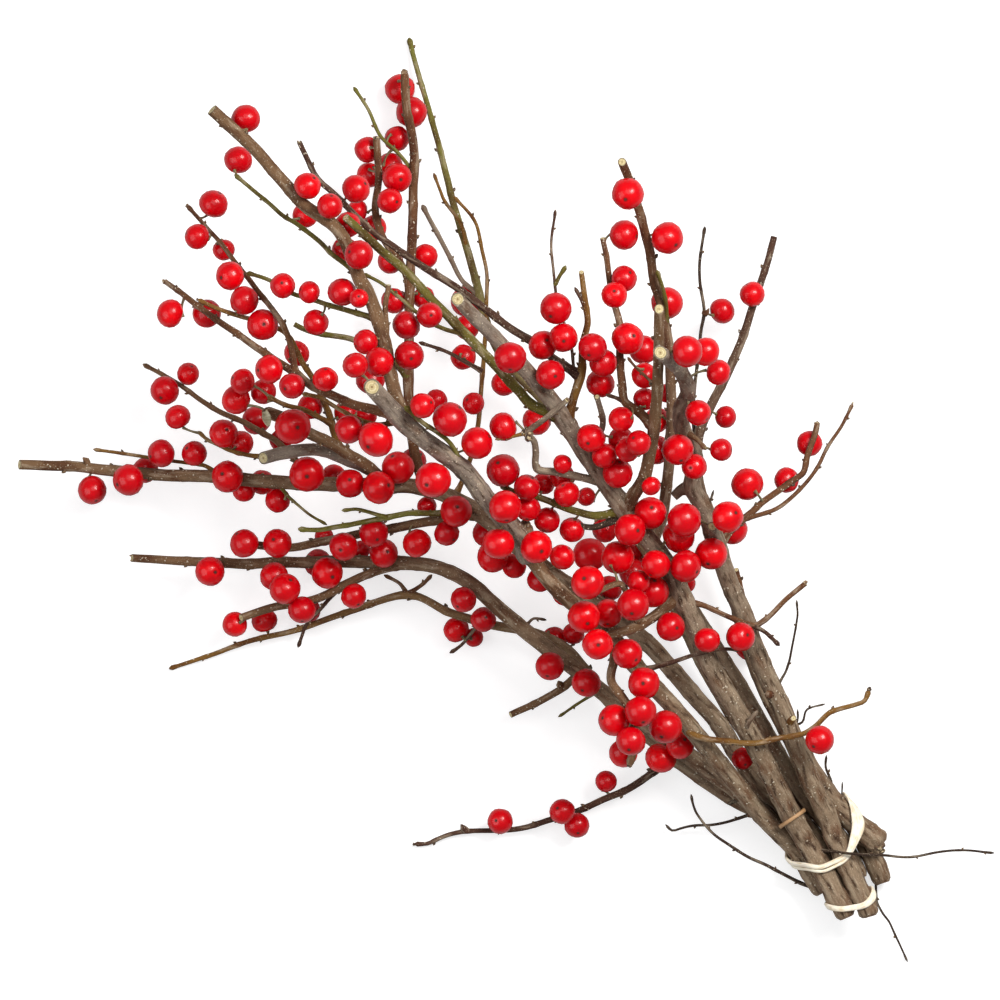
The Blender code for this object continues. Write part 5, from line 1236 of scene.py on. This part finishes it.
# %% Knots: lumps of cork at joints, healed tips and old wounds
# line, plan place, how far the lumps spread, their size, and how many there are
KNOTS = [
    ("2", (6.5, -7.5), 1.9, 1.1, 26), ("2b", (38.8, -79.5), 1.0, 0.8, 12),
    ("6c", (-28.8, 129), 1.3, 0.75, 12), ("6c", (-24.6, 104.6), 1.0, 1.2, 5),
    ("6c", (-26.2, 91), 1.1, 0.5, 7), ("6i", (-69.5, 26.5), 1.6, 0.9, 16),
    ("6i", (-64.5, 24.2), 1.5, 0.6, 7), ("3b", (8.4, 19.8), 2.3, 1.2, 18),
    ("3b", (19.5, 29.5), 0.9, 0.5, 6), ("2a", (-30.5, 24.5), 2.0, 0.9, 9),
    ("6b", (-60, 15.5), 1.5, 0.7, 5), ("6cb", (-37, 108.5), 1.0, 0.6, 9),
    ("2ad", (-18.2, 19), 0.8, 0.5, 5), ("7", (47.8, 60), 1.7, 0.6, 5), ("7", (45, 72), 1.6, 0.6, 6),
    ("7", (50.8, 44), 1.4, 0.6, 4), ("4", (61, -3), 2.2, 0.9, 9), ("4", (76.8, -45.5), 2.4, 0.7, 6),
    ("3", (64.3, -53.5), 2.4, 0.6, 7), ("1", (-111, -17.5), 1.0, 0.5, 6),
    ("2ab", (-53, 32.8), 1.5, 0.7, 8), ("5", (113.6, -104), 2.9, 1.5, 13),
    ("5", (109.4, -100.3), 3.4, 1.3, 9), ("5", (105, -96.2), 3.2, 0.9, 6),
    ("4a", (95.2, 23.2), 0.95, 0.6, 8), ("3g", (91.5, -25), 1.0, 0.65, 8),
    ("2c", (111, -57), 0.9, 0.6, 8), ("2ab", (-100.7, 65.7), 0.9, 0.5, 6),
    ("3ea", (-60, 107), 0.95, 0.55, 6), ("8a", (-26, -104), 0.7, 0.45, 5),
    ("2aba", (-94, 88.5), 0.7, 0.5, 6), ("6ba", (-90.5, 60), 0.7, 0.4, 5), ("4aa", (106.2, 29), 0.6, 0.35, 4),
]
knot_cork, tree = new_material("healed cork and bud scars, rough")
stain = ramp(tree, object_noise(tree, 260.0, 2.0), 0.35, 0.65)
ground = mixed(tree, stain, linear("#3f2e22"), linear("#84694f"))
crumbs = ramp(tree, object_noise(tree, 900.0, 2.0), 0.52, 0.62)
paint(tree, mixed(tree, crumbs, ground, linear("#b7a583")), {"Roughness": 0.9})
LUMP_PROFILE = [(0, -0.9), (0.62, -0.62), (0.98, -0.05), (0.78, 0.52), (0.36, 0.86), (0, 0.92)]
lump_shape = turned_shape("lump_shape", LUMP_PROFILE, 8, 0.16, 3)

chance = np.random.default_rng(47)
knots = {}
for key, plan, spread, size, count in KNOTS:
    line = lines[key]
    number = plan_number(line, plan)
    for _ in range(count):
        out = chance.normal(size=3) + 0.5 * UP  # more of them above than below
        out /= np.linalg.norm(out)
        reach = max(spread, line["radii"][number]) - 0.45 * size
        big = size * chance.uniform(0.55, 1.0)
        place = line["points"][number] + out * reach * chance.uniform(0.6, 1.0)
        knots.setdefault(line["stem"], []).append(
            (place, turned_to(out, chance), (big, big * 0.9, big * 0.7)))
for stem, mine in knots.items():
    add_to_wood(stem, copies(f"stem_{stem}_knots", lump_shape, knot_cork, *zip(*mine)))
print("lumps on knots:", {stem: len(mine) for stem, mine in knots.items()})

# %% A dry bit of leaf that hung on
# It is papery, grey-green and curled: a small grid bent along and across, with a real thickness.
dry_leaf, tree = new_material("dry leaf, papery")
blotch = stretched_noise(tree, node(tree, "ShaderNodeTexCoord").outputs["Object"], (500.0, 900.0, 500.0), 3.0)
blotch = ramp(tree, blotch, 0.35, 0.65)
paint(tree, mixed(tree, blotch, linear("#8b8468"), linear("#bdb79c")), {"Roughness": 0.8})
LEAF_TWIG, LEAF_PLACE, LEAF_WAY = "6i", (-70.2, 27.0), np.array([0.25, -1.0, -0.1])
LEAF_LONG, LEAF_WIDE, LEAF_THICK, LEAF_LIFT = 4.6, 2.4, 0.18, 1.04
LEAF_ROWS, LEAF_COLUMNS = 9, 5

number = plan_number(lines[LEAF_TWIG], LEAF_PLACE)
root = lines[LEAF_TWIG]["points"][number] + UP * (lines[LEAF_TWIG]["radii"][number] + LEAF_LIFT)
ahead = LEAF_WAY / np.linalg.norm(LEAF_WAY)
side = np.cross(ahead, UP) / np.linalg.norm(np.cross(ahead, UP))
points, faces = [], []
for share in np.linspace(0, 1, LEAF_ROWS):
    half = 0.5 * LEAF_WIDE * math.sin(math.pi * min(0.12 + 0.88 * share, 0.97)) ** 0.7
    for across in np.linspace(-1, 1, LEAF_COLUMNS):
        curl = 0.35 * LEAF_WIDE * across ** 2 + 0.5 * math.sin(2.2 * share)
        points.append(root + ahead * LEAF_LONG * share + side * half * across + UP * curl)
for row in range(LEAF_ROWS - 1):
    for first in range(row * LEAF_COLUMNS, (row + 1) * LEAF_COLUMNS - 1):
        faces.append((first, first + 1, first + LEAF_COLUMNS + 1, first + LEAF_COLUMNS))
leaf = mesh_object("leaf_bit", points, faces=faces)
bm = bmesh.new()
bm.from_mesh(leaf.data)
bmesh.ops.solidify(bm, geom=bm.faces[:], thickness=LEAF_THICK * MM)
bmesh.ops.recalc_face_normals(bm, faces=bm.faces)
bm.to_mesh(leaf.data)
bm.free()
leaf.data.shade_smooth()
leaf.data.materials.append(dry_leaf)
add_to_wood(lines[LEAF_TWIG]["stem"], leaf)

# %% Sawn ends
# Fresh wood under secateurs: cream, with faint growth rings, a soft brown pith, and bark round the rim.
cut_wood, tree = new_material("cut branch wood, cream with a brown pith")
from_pith = attribute(tree, "from_pith")
rings = calc(tree, "SINE", calc(tree, "MULTIPLY", from_pith, 16.0))
cream = mixed(tree, ramp(tree, rings, -0.6, 1.0), linear("#bfae80"), linear("#d6c89c"))
cream = mixed(tree, ramp(tree, object_noise(tree, 1600.0, 2.0), 0.45, 0.75), cream, linear("#a08c60"))
cream = mixed(tree, ramp(tree, from_pith, 0.22, 0.12), cream, linear("#8a7048"))
cream = mixed(tree, ramp(tree, from_pith, 0.80, 0.96), cream, linear("#6f6450"))
paint(tree, cream, {"Roughness": 0.8})

END_RINGS = (0.92, 0.75, 0.45, 0.16)  # from the rim in to the pith
END_FACE = [(share, 0.05 + 0.03 * math.sin(9 * share)) for share in END_RINGS]
END_PROFILE = [(0, -0.10), (0.9, -0.10), (1.0, 0.0), *END_FACE, (0, 0.06)]
end_shape = turned_shape("sawn_end_shape", END_PROFILE, 20, 0.02, 3)
points = np.array([vertex.co for vertex in end_shape.data.vertices])
put_attribute(end_shape, "from_pith", np.hypot(points[:, 0], points[:, 1]))


def sawn_end(line):
    """The place, turn and size of the pale face on a line's cut tip."""
    points, radii = line["points"], line["radii"]
    ahead = direction(points, len(points) - 1)
    up = upward(ahead)
    long_way = (up - LEAN * ahead) / math.hypot(1, LEAN)
    normal = (ahead + LEAN * up) / math.hypot(1, LEAN)
    basis = Matrix([long_way, np.cross(normal, long_way), normal]).transposed()
    radius = 0.90 * radii[-1]
    return points[-1], basis.to_euler(), (radius * math.hypot(1, LEAN), radius, min(1.0, radius))


ends = {}
for key, line in lines.items():
    if line["cut"]:
        ends.setdefault(line["stem"], []).append(sawn_end(line))
for stem, mine in ends.items():
    add_to_wood(stem, copies(f"stem_{stem}_ends", end_shape, cut_wood, *zip(*mine)))

# %% [markdown]
# ## Corky specks
#
# Bark breathes through small raised pores, pale and a little longer than wide. They are scattered over the
# older wood by another Geometry Nodes group, which picks places on the faces themselves, so each speck lies
# flat on the bark it grew from.

# %% The group that scatters specks
SPECKS_PER_SQUARE_METRE = 115000.0
SPECK_SIZES = (0.3 * MM, 0.95 * MM)
SPECK_SEED = 3
speck_group, given, result = new_group("specks over bark", [
    ("Shape", "shape"), ("Finish", "finish"), ("Per square metre", "size"), ("Seed", "count")])
tree = speck_group
old = node(tree, "FunctionNodeCompare", {0: named(tree, "class"), 1: 1.5}, data_type="FLOAT",
           operation="LESS_THAN").outputs["Result"]
fewer = node(tree, "ShaderNodeMapRange", {"Value": named(tree, "knob"), "From Min": 0.4, "From Max": 0.9,
                                          "To Min": 1.0, "To Max": 0.2}).outputs["Result"]
density = calc(tree, "MULTIPLY", given["Per square metre"], fewer)
scattered = node(tree, "GeometryNodeDistributePointsOnFaces", {
    "Mesh": given["Geometry"], "Selection": old, "Density": density, "Seed": given["Seed"]})
shape = node(tree, "GeometryNodeObjectInfo", {"Object": given["Shape"]}).outputs["Geometry"]
size = node(tree, "FunctionNodeRandomValue", {2: SPECK_SIZES[0], 3: SPECK_SIZES[1], "Seed": given["Seed"]},
            data_type="FLOAT")
geometry = node(tree, "GeometryNodeInstanceOnPoints", {
    "Points": scattered.outputs["Points"], "Instance": shape, "Rotation": scattered.outputs["Rotation"],
    "Scale": size.outputs["Value"]}).outputs["Instances"]
hand_over(tree, geometry, given["Finish"], result)

# Cork is pale, dry and open: a flat tan with no shine at all.
cork, tree = new_material("cork of the bark's pores, pale")
paint(tree, mixed(tree, object_noise(tree, 2500.0, 1.0), linear("#a89a82"), linear("#d4cab6")),
      {"Roughness": 0.95})
speck_shape = turned_shape("speck_shape", [(0, -0.05), (0.34, -0.02), (0.2, 0.10), (0, 0.12)], 6, 0.25, 2)

for number, stem in enumerate(STEMS):
    source = bpy.data.objects.new(f"stem_{stem}_bark_copy", wood[stem].data.copy())
    bpy.context.scene.collection.objects.link(source)
    add_to_wood(stem, grown(f"stem_{stem}_specks", source, speck_group, {
        "Shape": speck_shape, "Finish": cork, "Per square metre": SPECKS_PER_SQUARE_METRE,
        "Seed": SPECK_SEED + number}))

# %% [markdown]
# ## Rubber bands
#
# A stretched rubber band runs straight between the outermost stems, and round their bark where it touches.
# So its line is told stem by stem: which one it lies on, from which angle to which, and how far along the
# bundle. The strip is then swept along that line. It is mesh code and not Curve to Mesh, because the strip
# has to lie flat on the bundle all the way round, and its width changes: it is wide where it lies flat and
# narrow where it is pulled hard or turned on its edge.

# %% The bands' ways round the bundle
# name: its loops, each a list of the marks it runs through: the stem it lies on, the angle round that stem
# from its right side, how far past TIE_UPPER along the bundle, and its width. From one stem to the next it
# runs straight. The upper band goes round twice: side by side on the left, and one over the other elsewhere.
BANDS = {
    "rubber_band_lower": [[
        ("4", -22, -19.4, 1.8), ("4", 0, -19.9, 2.1), ("4", 45, -22.0, 2.4), ("4", 90, -22.8, 1.9),
        ("3", 90, -20.4, 1.7), ("3", 150, -17.6, 1.8), ("3", 196, -16.8, 2.0), ("8", 196, -17.2, 2.0),
        ("8", 270, -18.4, 2.0), ("8", 338, -19.0, 2.0)]],
    "rubber_band_upper": [[
        ("5", -22, 8.8, 2.2), ("5", 0, 8.4, 2.8), ("5", 45, 3.4, 3.7), ("5", 90, -1.5, 4.0),
        ("4", 56, -6.6, 2.0), ("4", 90, -7.0, 1.5), ("3", 90, -6.2, 1.4), ("3", 145, -3.4, 1.4),
        ("2", 145, -1.0, 1.4), ("2", 187, 1.0, 1.6), ("1", 187, 1.8, 2.0), ("1", 270, 3.6, 2.4),
        ("8", 270, 4.8, 2.4), ("9", 270, 6.2, 2.4), ("10", 270, 7.4, 2.4), ("10", 338, 8.6, 2.4)], [
        ("5", -22, 8.8, 1.2), ("5", 0, 8.4, 1.2), ("5", 90, -1.5, 1.2), ("4", 56, -7.0, 1.2),
        ("4", 90, -8.2, 1.0), ("3", 90, -7.7, 1.0), ("3", 145, -5.0, 1.0), ("2", 145, -2.6, 1.1),
        ("2", 187, -0.6, 1.2), ("1", 187, 0.4, 1.2), ("1", 270, 3.0, 1.2), ("8", 270, 4.6, 1.2),
        ("9", 270, 6.2, 1.2), ("10", 270, 7.4, 1.2), ("10", 338, 8.6, 1.2)]],
    "rubber_band_strand": [[
        ("3", 0, 11.4, 1.3), ("3", 90, 11.0, 1.1), ("3", 180, 10.6, 1.3), ("3", 270, 11.0, 1.3)]],
}
LOOP_LIFTS = (0.0, -0.25)  # the second loop lies a little closer in than the first
RUBBER_THICK = 0.95
TURN_STEP = 9  # degrees between a band's points where it goes round a stem
BUTT_BEADS = 22  # how many of a stem's beads lie in or near the tie


def on_bark(stem, degrees, station, lift):
    """The middle of a band where it lies on a stem, and the way out from the bark there."""
    span = slice(settled.first[stem], settled.first[stem] + BUTT_BEADS)
    points, radii = settled.place[span], settled.radius[span]
    along = (points[:, :2] - TIE_UPPER) @ AXIS[:2]
    across = (points[:, :2] - TIE_UPPER) @ ACROSS[:2]
    centre, ahead = (np.array([np.interp(place, along, across), np.interp(place, along, points[:, 2])])
                     for place in (station, station + 2))
    lean = float(np.linalg.norm(ahead - centre)) / 2
    bark_radius = np.interp(station, along, radii) * math.sqrt(1 + 0.8 * lean ** 2)
    reach = bark_radius + BAND_GAP + BAND_THICK / 2 + lift
    out = np.array([math.cos(math.radians(degrees)), math.sin(math.radians(degrees))])
    middle = centre + out * reach
    place = np.array([*TIE_UPPER, 0.0]) + station * AXIS + middle[0] * ACROSS + middle[1] * UP + SHIFT
    return [*place, *(out[0] * ACROSS + out[1] * UP)]


def band_points(marks, lift):
    """The closed line of one loop: rows of a middle, the way out of the bundle, and the width."""
    rows = []
    for mark, following in zip(marks, marks[1:] + marks[:1]):
        turn = (following[1] - mark[1]) % 360 if following[0] == mark[0] else 0
        steps = max(1, math.ceil(turn / TURN_STEP))
        for share in np.arange(steps) / steps:
            station, width = (mark[part] + share * (following[part] - mark[part]) for part in (2, 3))
            rows.append([*on_bark(mark[0], mark[1] + share * turn, station, lift), width])
    return np.array(rows)


# %% Sweeping the strips
def soft_square(value, power):
    """A sine or cosine made squarer: the lower the power, the squarer."""
    return 0.5 * math.copysign(abs(value) ** power, value)


# The section of a flat strip with soft edges: (width, thickness), each of size 1.
STRIP_ANGLES = [math.tau * number / 12 for number in range(12)]
STRIP = [(soft_square(math.cos(angle), 0.55), soft_square(math.sin(angle), 0.8)) for angle in STRIP_ANGLES]


def swept_strip(name, path, finish):
    """A closed strip along a closed path, evened out to a ring about every millimetre."""
    closed = np.vstack([path, path[:1]])
    along = lengths_along(closed[:, :3])
    at = np.linspace(0, along[-1], int(along[-1] / 1.0), endpoint=False)
    rings = np.column_stack([np.interp(at, along, column) for column in closed.T])
    for _ in range(2):
        rings = (np.roll(rings, 1, axis=0) + 2 * rings + np.roll(rings, -1, axis=0)) / 4
    points, faces = [], []
    count = len(rings)
    for number, ring in enumerate(rings):
        ahead = rings[(number + 1) % count][:3] - rings[number - 1][:3]
        ahead /= np.linalg.norm(ahead)
        out = ring[3:6] - ahead * (ring[3:6] @ ahead)
        out /= np.linalg.norm(out)
        side = np.cross(ahead, out)
        thick = RUBBER_THICK * (1.15 - 0.08 * ring[6])  # a band is thinner where it is wide
        points += [ring[:3] + side * ring[6] * wide + out * thick * deep for wide, deep in STRIP]
        sides = len(STRIP)
        low, high = number * sides, (number + 1) % count * sides
        faces += [(low + s, low + (s + 1) % sides, high + (s + 1) % sides, high + s) for s in range(sides)]
    made = mesh_object(name, points, faces=faces)
    put_attribute(made, "straight", [(wide * ring[6], deep, run) for ring, run in zip(rings, at)
                                     for wide, deep in STRIP])
    bm = bmesh.new()
    bm.from_mesh(made.data)
    bmesh.ops.recalc_face_normals(bm, faces=bm.faces)
    bm.to_mesh(made.data)
    bm.free()
    made.data.shade_smooth()
    made.data.materials.append(finish)
    return made


# Natural rubber, cut from an extruded tube: hardly shiny, with fine lines along it from the stretch, and dust
# on it that makes it paler.
def rubber(name, colour, worn):
    """Rubber of a colour, darker along the stretch lines where it is worn."""
    made, tree = new_material(name)
    place = attribute(tree, "straight", "Vector")
    lines_along = stretched_noise(tree, place, (3.5, 3.5, 0.12), 2.0)
    dusty = stretched_noise(tree, place, (0.6, 0.6, 0.35), 2.0)
    tone = mixed(tree, ramp(tree, lines_along, 0.35, 0.7), linear(worn), linear(colour))
    tone = mixed(tree, ramp(tree, dusty, 0.62, 0.40), tone, linear(colour))
    paint(tree, tone, {"Roughness": 0.55, "Subsurface Weight": 0.10, "Subsurface Radius": (1.0, 0.8, 0.5),
                       "Subsurface Scale": 0.6 * MM}, (lines_along, 0.4, 0.08 * MM))
    return made


cream_rubber = rubber("natural rubber, cream and dusty", "#f3ead6", "#d8c3a0")
# The strand's darker tan is partly its own colour and partly painted shade, for the shadow it lies in low in
# the tie.
tan_rubber = rubber("natural rubber, tan and aged", "#b08a62", "#84603a")
bands = {}
for name, loops in BANDS.items():
    finish = tan_rubber if name == "rubber_band_strand" else cream_rubber
    strips = [swept_strip(f"{name}_loop_{number}", band_points(loop, lift), finish)
              for number, (loop, lift) in enumerate(zip(loops, LOOP_LIFTS))]
    bands[name] = joined(name + "_strip", strips)
print("bands:", {name: len(piece.data.polygons) for name, piece in bands.items()})

# %% [markdown]
# ## Handing the pieces to the frame
#
# The models that were only copied are dropped. Each stem's wood and berries take the place of that stem's
# solid in the frame, which stays hidden for collision, and each strip the place of its band's.

# %% Riding on the frame
for shape in (*berry_shapes, scar_shape, bud_shape, lump_shape, end_shape, speck_shape):
    bpy.data.objects.remove(shape)
for stem in STEMS:
    for piece, slot in ((wood[stem], "bark"), (fruit.get(stem), "berry_skin")):
        if piece is not None:
            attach(piece, "root")
            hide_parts(f"stem_{stem}")
for name, piece in bands.items():
    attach(piece, "root")
    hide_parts(name)
faces = {piece.name: sum(len(face.vertices) - 2 for face in piece.data.polygons)
         for piece in (*wood.values(), *fruit.values(), *bands.values())}
print("triangles:", sum(faces.values()), "most in one piece:", max(faces.values()))

# %% [markdown]
# ## Table, light and camera
#
# The bunch lies on a plain light grey table top with a painted glow: it glows white towards the camera alone
# and lights nothing, so that the shadows on it stay faint, mostly painted out. A large soft light over the
# right shoulder gives each berry its highlight, two weaker ones open the shadows, and a pale surrounding
# fills in the rest. The camera looks straight down from six metres through a long lens, so that high tips and
# low ones are drawn to one scale. Its view is 300 millimetres wide. The colours are shown by the plain sRGB
# curve, because a film curve would wash out a red as strong as this.

# %% The table
VIEW_WIDE = 300.0
CAMERA_HIGH = 6.0
SHARP_HEIGHT = 0.045  # the height at which the view is exactly that wide
TABLE_GLOW = 0.66  # seen by the camera only: it lights nothing
TABLE_REACH, TABLE_HEIGHT = 4000, -0.3  # from the middle to each edge, and a hair below the bunch
# Painted light: the table's own colour is light grey. A glow seen only by camera rays makes it look white and
# fades the shadows cast on it.
table, tree = new_material("table top, matt white laminate")
paint(tree, mixed(tree, object_noise(tree, 9.0, 2.0), linear("#bcbcbc"), linear("#c2c2c2")),
      {"Roughness": 0.7, "Emission Color": linear("#ffffff")})
seen = node(tree, "ShaderNodeLightPath").outputs["Is Camera Ray"]
glow = calc(tree, "MULTIPLY", seen, TABLE_GLOW)
tree.links.new(glow, tree.nodes["Principled BSDF"].inputs["Emission Strength"])
corners = [(x * TABLE_REACH, y * TABLE_REACH, TABLE_HEIGHT) for x, y in ((-1, -1), (1, -1), (1, 1), (-1, 1))]
floor = mesh_object("table_top", corners, faces=[(0, 1, 2, 3)])
floor.data.materials.append(table)
floor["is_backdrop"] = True


# %% Lights and surroundings
def soft_light(name, place, size, power, colour):
    """A square area light that looks at the middle of the bunch, and isn't itself seen."""
    lamp = bpy.data.lights.new(name, "AREA")
    lamp.size, lamp.energy, lamp.color = size, power, linear(colour)[:3]
    made = bpy.data.objects.new(name, lamp)
    made.location = place
    made.rotation_euler = (Vector((0, 0, 0.05)) - Vector(place)).to_track_quat("-Z", "Y").to_euler()
    made.visible_camera = False
    bpy.context.scene.collection.objects.link(made)


SURROUNDINGS = 0.22  # how bright the surroundings are
soft_light("key", (0.55, 0.45, 1.0), size=0.45, power=14.5, colour="#fffdfa")
soft_light("fill", (-0.9, -0.2, 0.9), size=1.0, power=7.0, colour="#fbfcff")
soft_light("top", (0.1, 0.5, 1.6), size=1.0, power=6.0, colour="#ffffff")
world = bpy.data.worlds.new("pale surroundings")
world.use_nodes = True
world.node_tree.nodes["Background"].inputs["Color"].default_value = linear("#ffffff")
world.node_tree.nodes["Background"].inputs["Strength"].default_value = SURROUNDINGS
bpy.context.scene.world = world
bpy.context.scene.view_settings.view_transform = "Standard"

# %% The camera
lens = bpy.data.cameras.new("camera")
lens.sensor_width = 36.0
lens.lens = lens.sensor_width * (CAMERA_HIGH - SHARP_HEIGHT) / (VIEW_WIDE * MM)
lens.clip_end = 50.0
camera = bpy.data.objects.new("camera", lens)
camera.location = (SHIFT[0] * MM, SHIFT[1] * MM, CAMERA_HIGH)
bpy.context.scene.collection.objects.link(camera)
bpy.context.scene.camera = camera

# %% Sizes, and the end
visual_box = [list(corner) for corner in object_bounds()]
for name, box in (("frame", cad_box), ("finished", visual_box)):
    print(name, "size in mm:", [round((high - low) / MM, 1) for low, high in zip(*box)])
